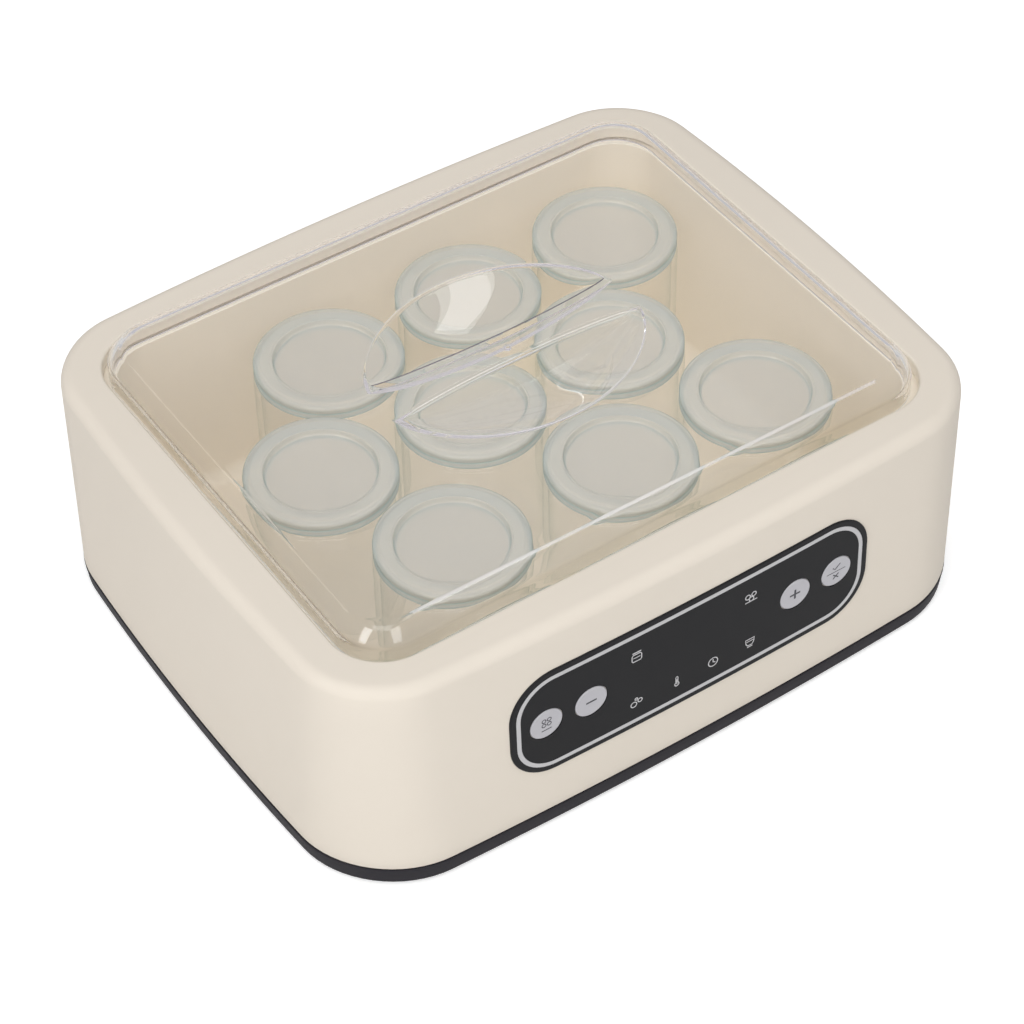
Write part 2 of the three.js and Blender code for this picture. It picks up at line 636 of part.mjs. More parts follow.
// ---------------------------------------------------------------- glass pots and their lids
// [x, y] of the nine places: three staggered rows from the back, each from right to left
const JAR_AT = [
  [92.6, 65.2], [24.6, 66.6], [-44.3, 65.2],
  [55.7, 9.8], [-12.4, 9.0], [-80.8, 11.6],
  [85.6, -48.6], [19.4, -48.9], [-59.5, -49.1],
];
const JAR_SEGMENTS = 16;
const JAR_R = 30.9;
const NECK_R = 28.7;
const MOUTH_R = NECK_R - 2;
const JAR_INNER_R = JAR_R - 2.4;
const SHOULDER_Z = 80.6;
const RIM_Z = 87.0 - 0.6;
const JAR_BOTTOM = WELL_FLOOR + GAP;
const JAR_FLOOR = WELL_FLOOR + 4.2; // inside the pot
const CAP_R = 30.6;
const CAP_INNER_R = NECK_R + GAP;
const CAP_TOP = 88.7;
const CAP_UNDER = CAP_TOP - 1.4; // underside of the cap's raised border
const SKIRT_Z = CAP_TOP - 6.6; // lower edge of the cap's skirt
const RECESS_R = 22.2;
const RECESS_Z = CAP_TOP - 2.2;

// [radius, z]: up the outside, then down the inside
const JAR_PROFILE = [
  [0, JAR_BOTTOM], [JAR_R - 4, JAR_BOTTOM], [JAR_R, WELL_FLOOR + 5], [JAR_R, SHOULDER_Z - 1],
  [NECK_R, SHOULDER_Z + 0.6], [NECK_R, RIM_Z], [MOUTH_R, RIM_Z], [MOUTH_R, SHOULDER_Z],
  [JAR_INNER_R, SHOULDER_Z - 3], [JAR_INNER_R, WELL_FLOOR + 7],
  [JAR_R - 6, JAR_FLOOR], [0, JAR_FLOOR],
];
// [radius, z]: out along the underside, then back over the top
const CAP_PROFILE = [
  [0, RECESS_Z - 1.5], [RECESS_R - 0.2, RECESS_Z - 1.5], [RECESS_R + 1.4, CAP_UNDER],
  [CAP_INNER_R, CAP_UNDER], [CAP_INNER_R, SKIRT_Z], [CAP_R, SKIRT_Z],
  [CAP_R, CAP_TOP - 0.8], [CAP_R - 0.8, CAP_TOP], [RECESS_R + 0.6, CAP_TOP],
  [RECESS_R - 0.8, RECESS_Z], [0, RECESS_Z],
];
JAR_AT.forEach(([x, y], i) => {
  add(`jar_${i + 1}`, latheZ(JAR_PROFILE, JAR_SEGMENTS), MATERIAL.glass)
    .position.set(x, y, 0);
  add(`jar_lid_${i + 1}`, latheZ(CAP_PROFILE, JAR_SEGMENTS), MATERIAL.frosted)
    .position.set(x, y, 0);
});

export default root;
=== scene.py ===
"""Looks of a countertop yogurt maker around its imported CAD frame. Lengths in the helper tables are millimetres in the CAD frame."""
import json
import math

import bmesh
import bpy
import numpy as np
from mathutils import Matrix, Vector
from mathutils.geometry import delaunay_2d_cdt


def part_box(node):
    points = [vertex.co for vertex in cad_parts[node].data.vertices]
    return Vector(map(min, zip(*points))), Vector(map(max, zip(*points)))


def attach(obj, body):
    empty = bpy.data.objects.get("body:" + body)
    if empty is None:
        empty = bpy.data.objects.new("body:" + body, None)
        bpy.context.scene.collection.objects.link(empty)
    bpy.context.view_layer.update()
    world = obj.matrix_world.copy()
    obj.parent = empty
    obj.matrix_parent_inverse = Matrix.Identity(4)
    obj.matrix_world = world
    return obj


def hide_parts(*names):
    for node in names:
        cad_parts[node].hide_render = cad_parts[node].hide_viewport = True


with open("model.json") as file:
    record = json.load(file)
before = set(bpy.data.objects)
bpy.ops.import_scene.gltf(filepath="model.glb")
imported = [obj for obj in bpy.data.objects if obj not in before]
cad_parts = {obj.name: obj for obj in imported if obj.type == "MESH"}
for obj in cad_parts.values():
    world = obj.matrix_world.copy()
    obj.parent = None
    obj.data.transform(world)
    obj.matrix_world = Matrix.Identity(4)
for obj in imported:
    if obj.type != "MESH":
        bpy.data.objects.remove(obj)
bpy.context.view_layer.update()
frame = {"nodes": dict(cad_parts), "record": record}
SC = bpy.context.scene
MM = 0.001
PI = math.pi

# ---------------------------------------------------------------- sizes shared with the CAD frame
CASE_W, CASE_D, BOW_X, BOW_Y = 300.0, 243.5, 5.56, 4.79
CASE_R0, CASE_R1, DRAFT = 39.0, 32.3, 0.030
CASE_TOP, CASE_ROUND, CASE_WALL = 108.3, 4.5, 3.0
FOOT_DROP, BAND_TOP, BAND_TUCK = 2.0, 10.1, 0.62
OPEN_W, OPEN_D, OPEN_R = 266.6, 209.8, 22.4
LEDGE_Z = CASE_TOP - 6.0
WELL_W, WELL_D, WELL_R, WELL_DRAFT, WELL_FLOOR = 257.2, 200.4, 20.0, 1.5, 14.0
LID_CY, LID_W, LID_D, LID_R, LID_T = 0.8, 262.2, 205.4, 21.0, 2.3
LID_EDGE_Z, LID_CROWN = CASE_TOP + 9.7, 1.3
BAR_CY, BAR_HALF, BAR_LEAN = 1.8, 11.7, 0.355
SCOOP_A, SCOOP_B, SCOOP_DEPTH, SCOOP_POWER, SCOOP_ARC = 55.3, 35.0, 11.0, 0.74, 0.65
JAR_R, JAR_NECK_R, JAR_WALL, JAR_RIM_Z, JAR_SHOULDER_Z = 30.9, 28.7, 2.4, 87.0, 80.6
JLID_R, JLID_TOP, JLID_SKIRT, JLID_RECESS_R, JLID_RECESS = 30.6, 88.7, 6.6, 22.2, 2.2
PANEL_W, PANEL_H, PANEL_R, PANEL_Z, PANEL_PROUD = 168.2, 53.4, 20.0, 59.8, 0.7
RING_INSET, RING_W, BUTTON_R = 2.7, 1.9, 7.2


# ---------------------------------------------------------------- mesh helpers
def brect(w, d, r, bx=0.0, by=0.0, n=16, m=24):
    """Points of a rounded rectangle whose sides bow outwards, counter-clockwise."""
    pts = []
    cs = ((w / 2 - r, d / 2 - r, 0), (-w / 2 + r, d / 2 - r, 90), (-w / 2 + r, -d / 2 + r, 180), (w / 2 - r, -d / 2 + r, 270))
    for i, (cx, cy, a0) in enumerate(cs):
        for k in range(n + 1):
            a = math.radians(a0 + 90 * k / n)
            pts.append((cx + r * math.cos(a), cy + r * math.sin(a)))
        nx, ny, b0 = cs[(i + 1) % 4]
        a, b = math.radians(a0 + 90), math.radians(b0)
        p = np.array((cx + r * math.cos(a), cy + r * math.sin(a)))
        q = np.array((nx + r * math.cos(b), ny + r * math.sin(b)))
        for k in range(1, m):
            pts.append(tuple(p + (q - p) * k / m))
    pts = np.array(pts)
    x, y = pts.T
    return np.stack([x + (x / (w / 2)) * bx * (1 - (y / (d / 2)) ** 2), y + (y / (d / 2)) * by * (1 - (x / (w / 2)) ** 2)], axis=1)


def case_ring(z, o=0.0, n=16, m=24):
    h = z - BAND_TOP
    t = h / (CASE_TOP - CASE_ROUND - BAND_TOP)
    s = o - DRAFT * h
    return brect(CASE_W + 2 * s, CASE_D + 2 * s, CASE_R0 + (CASE_R1 - CASE_R0) * t + o, BOW_X, BOW_Y, n, m)


def front_y(x, z, o=0.0):
    w = CASE_W / 2 + o - DRAFT * (z - BAND_TOP)
    d = CASE_D / 2 + o - DRAFT * (z - BAND_TOP)
    return -(d + BOW_Y * (1 - (x / w) ** 2))


def with_z(ring, z):
    return np.column_stack([ring, np.full(len(ring), float(z))])


def strip_rings(rings, closed=False, cap_first=False, cap_last=False):
    """Vertices and faces of a tube through rings of equal length."""
    n = len(rings[0])
    verts = np.vstack(rings)
    faces = []
    count = len(rings)
    for k in range(count if closed else count - 1):
        a0, b0 = k * n, ((k + 1) % count) * n
        for i in range(n):
            j = (i + 1) % n
            faces.append((a0 + i, a0 + j, b0 + j, b0 + i))
    if cap_first:
        faces.append(tuple(range(n - 1, -1, -1)))
    if cap_last:
        faces.append(tuple((count - 1) * n + i for i in range(n)))
    return verts, faces


def make_obj(name, verts, faces, material, body, replaces=(), sharp=35.0, offset=(0, 0, 0), recalc=True, weld=None, even=True):
    mesh = bpy.data.meshes.new(name)
    v = (np.asarray(verts, float) + np.array(offset, float)) * MM
    mesh.from_pydata([tuple(p) for p in v], [], [tuple(int(i) for i in f) for f in faces])
    bm = bmesh.new()
    bm.from_mesh(mesh)
    if weld:
        bmesh.ops.remove_doubles(bm, verts=bm.verts, dist=weld * MM)
        bmesh.ops.dissolve_degenerate(bm, dist=1e-7, edges=bm.edges)
    if recalc:
        bmesh.ops.recalc_face_normals(bm, faces=bm.faces)
    bm.to_mesh(mesh)
    bm.free()
    mesh.polygons.foreach_set("use_smooth", [True] * len(mesh.polygons))
    mesh.set_sharp_from_angle(angle=math.radians(sharp))
    mesh.update()
    obj = bpy.data.objects.new(name, mesh)
    SC.collection.objects.link(obj)
    if material is not None:
        mesh.materials.append(material)
    if body:
        if even:
            wn = obj.modifiers.new("even_normals", "WEIGHTED_NORMAL")
            wn.mode, wn.weight, wn.keep_sharp = "FACE_AREA", 60, True
        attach(obj, body)
    if replaces:
        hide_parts(*replaces)
    return obj


def lathe(profile, segs=72, closed=False):
    """Turns (radius, z) points about Z. Points on the axis become single poles after welding."""
    a = np.linspace(0, 2 * PI, segs, endpoint=False)
    rings = [np.column_stack([r * np.cos(a), r * np.sin(a), np.full(segs, z)]) for r, z in profile]
    return strip_rings(rings, closed=closed)


def arc(cx, cz, r, a0, a1, n):
    return [(cx + r * math.cos(math.radians(a0 + (a1 - a0) * k / n)), cz + r * math.sin(math.radians(a0 + (a1 - a0) * k / n))) for k in range(n + 1)]


def join(parts):
    """Joins (verts, faces) pairs into one."""
    vs, fs, base = [], [], 0
    for v, f in parts:
        vs.append(np.asarray(v, float))
        fs += [tuple(i + base for i in q) for q in f]
        base += len(v)
    return np.vstack(vs), fs


# ---------------------------------------------------------------- materials
class Mat:
    """A small node builder for one material."""

    def __init__(self, name):
        self.m = bpy.data.materials.new(name)
        self.m.use_nodes = True
        self.t = self.m.node_tree
        self.t.nodes.clear()
        self.out = self.t.nodes.new("ShaderNodeOutputMaterial")
        self.coord = None

    def node(self, kind, **kw):
        n = self.t.nodes.new(kind)
        for k, v in kw.items():
            if k.startswith("in_"):
                n.inputs[int(k[3:])].default_value = v
            else:
                setattr(n, k, v)
        return n

    def link(self, a, b):
        self.t.links.new(a, b)

    def obj_coord(self):
        if self.coord is None:
            self.coord = self.t.nodes.new("ShaderNodeTexCoord").outputs["Object"]
        return self.coord

    def noise(self, scale, detail=3.0, rough=0.5):
        n = self.node("ShaderNodeTexNoise")
        n.inputs["Scale"].default_value = scale
        n.inputs["Detail"].default_value = detail
        n.inputs["Roughness"].default_value = rough
        self.link(self.obj_coord(), n.inputs["Vector"])
        return n.outputs["Fac"]

    def ramp(self, fac, stops):
        r = self.node("ShaderNodeValToRGB")
        e = r.color_ramp.elements
        while len(e) < len(stops):
            e.new(0.5)
        for el, (p, c) in zip(e, stops):
            el.position = p
            el.color = (*c, 1) if len(c) == 3 else c
        self.link(fac, r.inputs["Fac"])
        return r.outputs["Color"]

    def rangemap(self, fac, a, b, lo=0.0, hi=1.0):
        r = self.node("ShaderNodeMapRange")
        r.inputs["From Min"].default_value, r.inputs["From Max"].default_value = lo, hi
        r.inputs["To Min"].default_value, r.inputs["To Max"].default_value = a, b
        self.link(fac, r.inputs["Value"])
        return r.outputs["Result"]

    def bump(self, height, strength, distance):
        b = self.node("ShaderNodeBump")
        b.inputs["Strength"].default_value = strength
        b.inputs["Distance"].default_value = distance
        self.link(height, b.inputs["Height"])
        return b.outputs["Normal"]

    def principled(self, **kw):
        p = self.node("ShaderNodeBsdfPrincipled")
        for k, v in kw.items():
            s = p.inputs[k.replace("_", " ")]
            if hasattr(v, "is_output"):
                self.link(v, s)
            else:
                s.default_value = v
        return p

    def let_light_in(self, shader, rgb):
        """Lamps and bounced light pass straight through, as they scatter through thin clear or milky walls."""
        tr = self.node("ShaderNodeBsdfTransparent")
        tr.inputs[0].default_value = (*rgb, 1)
        lp = self.node("ShaderNodeLightPath")
        either = self.node("ShaderNodeMath", operation="MAXIMUM")
        self.link(lp.outputs["Is Shadow Ray"], either.inputs[0])
        self.link(lp.outputs["Is Diffuse Ray"], either.inputs[1])
        mx = self.node("ShaderNodeMixShader")
        self.link(either.outputs[0], mx.inputs[0])
        self.link(shader, mx.inputs[1])
        self.link(tr.outputs[0], mx.inputs[2])
        return mx.outputs[0]

    def finish(self, shader):
        self.link(shader, self.out.inputs["Surface"])
        return self.m


def lin(r, g, b):
    def f(c):
        c /= 255.0
        return c / 12.92 if c <= 0.04045 else ((c + 0.055) / 1.055) ** 2.4

    return (f(r), f(g), f(b))


def tint(c, k):
    return tuple(max(0.0, min(1.0, x * k)) for x in c)


def plastic(name, rgb, rough=0.45, var=0.03, grain=900.0, bump=0.05, spec=0.5, coat=0.0, sss=0.0):
    """Moulded plastic: slight mottling, fine moulded texture in bump and roughness."""
    m = Mat(name)
    c = lin(*rgb)
    big = m.noise(9.0, 4.0, 0.55)
    col = m.ramp(big, [(0.3, tint(c, 1 - var)), (0.7, tint(c, 1 + var * 0.5))])
    fine = m.noise(grain, 2.0, 0.6)
    rgh = m.rangemap(fine, rough - 0.06, rough + 0.06)
    nrm = m.bump(fine, bump, 0.0003)
    p = m.principled(Base_Color=col, Roughness=rgh, Normal=nrm, Specular_IOR_Level=spec)
    if coat:
        p.inputs["Coat Weight"].default_value = coat
        p.inputs["Coat Roughness"].default_value = 0.08
    if sss:
        p.inputs["Subsurface Weight"].default_value = sss
        p.inputs["Subsurface Scale"].default_value = 0.004
        p.inputs["Subsurface Radius"].default_value = (1.0, 0.7, 0.5)
    return m.finish(p.outputs[0])


def metal(name, rgb, rough=0.35, aniso_scale=(1.0, 60.0, 1.0), var=0.12):
    m = Mat(name)
    c = lin(*rgb)
    mp = m.node("ShaderNodeMapping")
    mp.inputs["Scale"].default_value = aniso_scale
    m.link(m.obj_coord(), mp.inputs["Vector"])
    n = m.node("ShaderNodeTexNoise")
    n.inputs["Scale"].default_value = 60.0
    n.inputs["Detail"].default_value = 6.0
    m.link(mp.outputs[0], n.inputs["Vector"])
    rgh = m.rangemap(n.outputs["Fac"], rough - var, rough + var)
    col = m.ramp(n.outputs["Fac"], [(0.2, tint(c, 0.85)), (0.8, tint(c, 1.05))])
    p = m.principled(Base_Color=col, Roughness=rgh, Metallic=1.0, Normal=m.bump(n.outputs["Fac"], 0.08, 0.0002))
    return m.finish(p.outputs[0])


def fibre(name, rgb):
    """Needled felt: two noises of crossed fibres."""
    m = Mat(name)
    c = lin(*rgb)
    a = m.node("ShaderNodeTexVoronoi")
    a.inputs["Scale"].default_value = 700.0
    m.link(m.obj_coord(), a.inputs["Vector"])
    f = m.noise(500.0, 6.0, 0.7)
    col = m.ramp(f, [(0.25, tint(c, 0.82)), (0.75, c)])
    p = m.principled(Base_Color=col, Roughness=0.95, Normal=m.bump(a.outputs["Distance"], 0.5, 0.0008))
    return m.finish(p.outputs[0])


def clear(name, face_rgb, edge_rgb, power=3.0, gloss=1.0, rough=0.02, matte_share=0.0, edge_haze=0.0, matte_rgb=(235, 235, 235), wobble=0.0):
    """Thin clear wall: mostly see-through, tinted where it is seen edge on, with a mirror-like surface and a trace of
    milky scatter.
    """
    m = Mat(name)
    lw = m.node("ShaderNodeLayerWeight")
    lw.inputs["Blend"].default_value = 0.5
    facing = lw.outputs["Facing"]

    def power_of(k):
        n = m.node("ShaderNodeMath", operation="POWER")
        m.link(facing, n.inputs[0])
        n.inputs[1].default_value = k
        return n.outputs[0]

    edge = power_of(power)
    tone = m.ramp(edge, [(0.0, lin(*face_rgb)), (1.0, lin(*edge_rgb))])
    tr = m.node("ShaderNodeBsdfTransparent")
    m.link(tone, tr.inputs[0])
    marks = m.noise(160.0, 5.0, 0.6)
    gl = m.node("ShaderNodeBsdfGlossy")
    gl.inputs["Color"].default_value = (1, 1, 1, 1)
    m.link(m.rangemap(marks, max(rough - 0.01, 0.0), rough + 0.03), gl.inputs["Roughness"])
    if wobble:
        m.link(m.bump(m.noise(16.0, 1.0, 0.4), wobble, 0.002), gl.inputs["Normal"])
    fres = m.rangemap(power_of(5.0), 0.04 * gloss, 0.9 * gloss)
    df = m.node("ShaderNodeBsdfDiffuse")
    df.inputs[0].default_value = (*lin(*matte_rgb), 1)
    mx0 = m.node("ShaderNodeMixShader")
    m.link(m.rangemap(edge, matte_share, max(edge_haze, matte_share)), mx0.inputs[0])
    m.link(tr.outputs[0], mx0.inputs[1])
    m.link(df.outputs[0], mx0.inputs[2])
    mx = m.node("ShaderNodeMixShader")
    m.link(fres, mx.inputs[0])
    m.link(mx0.outputs[0], mx.inputs[1])
    m.link(gl.outputs[0], mx.inputs[2])
    return m.finish(m.let_light_in(mx.outputs[0], (0.99, 0.99, 0.985)))


def bending(name, rgb, ior=1.5, rough=0.0, matte_share=0.0, matte_rgb=(235, 232, 238), painted_glow_rgb=(200, 196, 200)):
    """Solid clear plastic that bends what is seen through it; lamps and bounced light pass straight through."""
    m = Mat(name)
    p = m.principled(Base_Color=(*lin(*rgb), 1), IOR=ior, Transmission_Weight=1.0)
    marks = m.noise(140.0, 5.0, 0.6)
    m.link(m.rangemap(marks, rough, rough + 0.006), p.inputs["Roughness"])
    # the diffuse mixed in here: a trace of milky scatter on the plain lid, and painted shade and painted highlights on
    # the lid's edge strips
    df = m.node("ShaderNodeBsdfDiffuse")
    df.inputs[0].default_value = (*lin(*matte_rgb), 1)
    mx = m.node("ShaderNodeMixShader")
    mx.inputs[0].default_value = matte_share
    m.link(p.outputs[0], mx.inputs[1])
    m.link(df.outputs[0], mx.inputs[2])
    # painted glow: rays deeper than 7.5 bounces show a fixed light lilac-grey emission instead of going dark
    lp = m.node("ShaderNodeLightPath")
    deep = m.node("ShaderNodeMath", operation="GREATER_THAN")
    m.link(lp.outputs["Ray Depth"], deep.inputs[0])
    deep.inputs[1].default_value = 7.5
    painted_glow = m.node("ShaderNodeEmission")
    painted_glow.inputs[0].default_value = (*lin(*painted_glow_rgb), 1)
    painted_glow_mix = m.node("ShaderNodeMixShader")
    m.link(deep.outputs[0], painted_glow_mix.inputs[0])
    m.link(mx.outputs[0], painted_glow_mix.inputs[1])
    m.link(painted_glow.outputs[0], painted_glow_mix.inputs[2])
    return m.finish(m.let_light_in(painted_glow_mix.outputs[0], (0.99, 0.99, 0.985)))


def frosted(name, rgb, edge_rgb, tint_rgb, solid=0.45, edge_solid=0.8, rough=0.3, power=2.0, tint_and_shade_bands=None):
    """Translucent snap-lid plastic: half see-through face on, denser and bluer where the wall is seen edge on.
    The bands list (height in mm, share) where the colour moves towards the edge colour: partly the tint of thick
    plastic at the edges, partly painted shade along the edges and in the grooves."""
    m = Mat(name)
    lw = m.node("ShaderNodeLayerWeight")
    lw.inputs["Blend"].default_value = 0.5
    pw = m.node("ShaderNodeMath", operation="POWER")
    m.link(lw.outputs["Facing"], pw.inputs[0])
    pw.inputs[1].default_value = power
    col = m.ramp(pw.outputs[0], [(0.0, lin(*rgb)), (1.0, lin(*edge_rgb))])
    share = m.rangemap(pw.outputs[0], solid, edge_solid)
    if tint_and_shade_bands:
        xyz = m.node("ShaderNodeSeparateXYZ")
        m.link(m.obj_coord(), xyz.inputs[0])
        lo_, hi_ = tint_and_shade_bands[0][0], tint_and_shade_bands[-1][0]
        hz = m.rangemap(xyz.outputs["Z"], 0.0, 1.0, lo_ * MM, hi_ * MM)
        depth = m.ramp(hz, [((z_ - lo_) / (hi_ - lo_), (q_, q_, q_)) for z_, q_ in tint_and_shade_bands])
        mixc = m.node("ShaderNodeMix", data_type="RGBA")
        m.link(depth, mixc.inputs[0])
        m.link(col, mixc.inputs[6])
        mixc.inputs[7].default_value = (*lin(*edge_rgb), 1)
        col = mixc.outputs[2]
        more = m.node("ShaderNodeMath", operation="MULTIPLY_ADD")
        m.link(depth, more.inputs[0])
        more.inputs[1].default_value = 0.3
        m.link(share, more.inputs[2])
        more.use_clamp = True
        share = more.outputs[0]
    cloud = m.noise(60.0, 4.0, 0.6)
    fine = m.noise(1400.0, 2.0, 0.5)
    p = m.principled(Base_Color=col, Roughness=m.rangemap(cloud, rough - 0.06, rough + 0.06), Normal=m.bump(fine, 0.03, 0.0002), IOR=1.49)
    tr = m.node("ShaderNodeBsdfTransparent")
    tr.inputs[0].default_value = (*lin(*tint_rgb), 1)
    mx = m.node("ShaderNodeMixShader")
    m.link(share, mx.inputs[0])
    m.link(tr.outputs[0], mx.inputs[1])
    m.link(p.outputs[0], mx.inputs[2])
    return m.finish(m.let_light_in(mx.outputs[0], (0.93, 0.93, 0.92)))


CREAM = plastic("case_cream", (228, 219, 206), rough=0.58, var=0.015, grain=1500.0, bump=0.04, spec=0.28)
# painted light: the well liner is the same cream plastic as the case, with a lighter copy of its colour that lifts the
# shaded inside of the well
WELL_LIGHTENED_CREAM = plastic("well_cream", (240, 230, 214), rough=0.42, var=0.02, grain=1200.0, bump=0.03)
CHARCOAL = plastic("base_charcoal", (44, 42, 47), rough=0.5, var=0.08, grain=1500.0, bump=0.05, spec=0.2)
RUBBER = plastic("foot_rubber", (24, 24, 24), rough=0.85, var=0.1, grain=700.0, bump=0.2, spec=0.3)
STEEL = metal("screw_steel", (190, 193, 197), 0.35)
ALU = metal("spreader_aluminium", (214, 215, 217), 0.35)
HEATER = plastic("heater_silicone", (178, 70, 48), rough=0.7, var=0.08, grain=500.0, bump=0.1)
FELT = fibre("insulation_felt", (232, 227, 216))
BOARD = plastic("board_green", (28, 92, 58), rough=0.35, var=0.15, grain=300.0, bump=0.1)
COMPONENT = plastic("component_black", (28, 28, 30), rough=0.35, var=0.1, grain=600.0, bump=0.05)
TAPE = plastic("transformer_tape", (222, 178, 70), rough=0.4, var=0.06, grain=300.0, bump=0.1)
PANEL = plastic("panel_black", (36, 36, 38), rough=0.4, var=0.03, grain=1800.0, bump=0.02, spec=0.12)
SILVER = plastic("panel_silver", (196, 195, 197), rough=0.35, var=0.02, grain=1800.0, bump=0.02)
BUTTON = plastic("button_grey", (190, 189, 194), rough=0.42, var=0.02, grain=1800.0, bump=0.02, spec=0.3)
PRINT = plastic("panel_print", (205, 204, 206), rough=0.5, var=0.02, grain=1800.0, bump=0.01)
PRINT_DARK = plastic("button_print", (66, 66, 72), rough=0.5, var=0.02, grain=1800.0, bump=0.01)
WIRE = plastic("wire_sheath", (226, 222, 214), rough=0.55, var=0.03, grain=500.0, bump=0.05)
LID = bending("lid_clear", (253, 253, 253), ior=1.5, rough=0.0, matte_share=0.006)
# painted shade and painted highlights: the three materials below give narrow edge strips of the lid a matte dark-lilac
# or matte white share, in place of the lines that refraction draws there
LID_PAINTED_DARK_LINE = bending("lid_painted_dark_line", (253, 253, 253), ior=1.5, rough=0.0, matte_share=0.85, matte_rgb=(74, 66, 92))
LID_PAINTED_BRIGHT_LINE = bending("lid_painted_bright_line", (253, 253, 253), ior=1.5, rough=0.0, matte_share=0.5, matte_rgb=(252, 252, 253))
LID_PAINTED_SOFT_HIGHLIGHT = bending("lid_painted_soft_highlight", (253, 253, 253), ior=1.5, rough=0.0, matte_share=0.35, matte_rgb=(246, 243, 246))
GLASS = clear("jar_glass", (254, 254, 254), (228, 235, 232), power=6.0, gloss=0.7, rough=0.01, matte_share=0.006, edge_haze=0.07, matte_rgb=(240, 244, 242))
FROST = frosted("jar_lid_frosted", (224, 223, 220), (206, 216, 216), (249, 248, 245), solid=0.32, edge_solid=0.6, rough=0.3)
# painted shade: the bands darken the rim to teal along its edges and in its groove, partly the tint of thick plastic
FROST_RIM = frosted("jar_lid_rim", (229, 225, 218), (140, 176, 180), (248, 249, 247), solid=0.38, edge_solid=0.85, rough=0.13, power=2.2,
                   tint_and_shade_bands=[(81.9, 0.85), (82.6, 0.75), (83.0, 0.1), (84.3, 0.1), (84.7, 0.8), (85.3, 0.8), (85.7, 0.1), (86.5, 0.12), (86.9, 0.16), (87.4, 0.16), (87.8, 0.22), (88.1, 0.14), (88.3, 0.0), (88.9, 0.0)])

SLOT_MAT = {
    "case_cream": CREAM, "well_cream": WELL_LIGHTENED_CREAM, "base_charcoal": CHARCOAL, "foot_rubber": RUBBER, "screw_steel": STEEL, "spreader_aluminium": ALU,
    "heater_silicone": HEATER, "insulation_felt": FELT, "board_green": BOARD, "component_black": COMPONENT, "transformer_tape": TAPE,
    "panel_black": PANEL, "panel_silver": SILVER, "button_grey": BUTTON, "lid_clear": LID, "jar_glass": GLASS, "jar_lid_frosted": FROST, "wire_sheath": WIRE,
}
for row in frame["record"]["subparts"]:
    o = frame["nodes"][row["node"]]
    o.data.materials.clear()
    o.data.materials.append(SLOT_MAT[row["material_slot"]])

# ---------------------------------------------------------------- outer case
N, M = 16, 24


def carve(obj, cut, angle):
    """Cut a closed shape out of a piece."""
    obj.modifiers.clear()
    mod = obj.modifiers.new("carve", "BOOLEAN")
    mod.operation, mod.solver, mod.object = "DIFFERENCE", "EXACT", cut
    bpy.context.view_layer.update()
    dg = bpy.context.evaluated_depsgraph_get()
    new = bpy.data.meshes.new_from_object(obj.evaluated_get(dg), depsgraph=dg)
    obj.modifiers.clear()
    old = obj.data
    obj.data = new
    new.set_sharp_from_angle(angle=math.radians(angle))
    bpy.data.objects.remove(cut)
    bpy.data.meshes.remove(old)


def orect(o, z, n=N, m=M):
    return with_z(brect(OPEN_W + 2 * o, OPEN_D + 2 * o, OPEN_R + o, 0, 0, n, m), z)


rings = []
z_low = BAND_TOP + 0.55
rings.append(with_z(case_ring(z_low, -0.6), z_low))
rings.append(with_z(case_ring(z_low + 0.18, -0.18), z_low + 0.18))
rings.append(with_z(case_ring(z_low + 0.6, 0), z_low + 0.6))
for z in np.linspace(z_low + 6, CASE_TOP - 5.6, 9):
    rings.append(with_z(case_ring(z, 0), z))
RND = 5.2
s0 = -DRAFT * (CASE_TOP - RND - BAND_TOP)
for k in range(0, 11):
    a = math.radians(90 * k / 10)
    ins = RND * (1 - math.cos(a))
    s = s0 - ins
    rings.append(with_z(brect(CASE_W + 2 * s, CASE_D + 2 * s, CASE_R1 + 0.3 - ins, BOW_X, BOW_Y, N, M), CASE_TOP - RND + RND * math.sin(a)))
top_out = rings[-1]
top_in = orect(1.1, CASE_TOP)
for f in (0.06, 0.25, 0.5, 0.75, 0.94):
    rings.append(top_out * (1 - f) + top_in * f)
for k in range(0, 6):
    a = math.radians(90 * k / 5)
    rings.append(orect(1.1 * (1 - math.sin(a)), CASE_TOP - 1.1 * (1 - math.cos(a))))
rings.append(orect(0, CASE_TOP - 5.4))
rings.append(orect(0.3, CASE_TOP - 5.7))
rings.append(orect(2.4, CASE_TOP - 5.7))
rings.append(orect(2.5, CASE_TOP - 3.0))
rings.append(with_z(case_ring(CASE_TOP - 6, -CASE_WALL), CASE_TOP - 3.0))
rings.append(with_z(case_ring(60, -CASE_WALL), 60))
rings.append(with_z(case_ring(z_low, -CASE_WALL), z_low))
v, f = strip_rings(rings, closed=True)
case = make_obj("case_shell", v, f, CREAM, "root", ["outer_case"], sharp=40)
# cut-out for the mains inlet in the back wall
lo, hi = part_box("mains_inlet")
ix, iz, iy = (lo.x + hi.x) / 2 / MM, (lo.z + hi.z) / 2 / MM, hi.y / MM
v = [(ix + sx * 10.2, y, iz + sz * 5.2) for y in (iy - 12.0, iy + 5.0) for sx, sz in ((-1, -1), (1, -1), (1, 1), (-1, 1))]
f = [(0, 1, 2, 3), (7, 6, 5, 4), (0, 4, 5, 1), (1, 5, 6, 2), (2, 6, 7, 3), (3, 7, 4, 0)]
carve(case, make_obj("cutter", v, f, None, None), 40)

# ---------------------------------------------------------------- jar well
def wrect(o, z, n=N, m=M):
    return with_z(brect(WELL_W + 2 * o, WELL_D + 2 * o, max(WELL_R + o, 2.0), 0, 0, n, m), z)


def wd(z):
    return -WELL_DRAFT * (LEDGE_Z - z) / (LEDGE_Z - WELL_FLOOR)


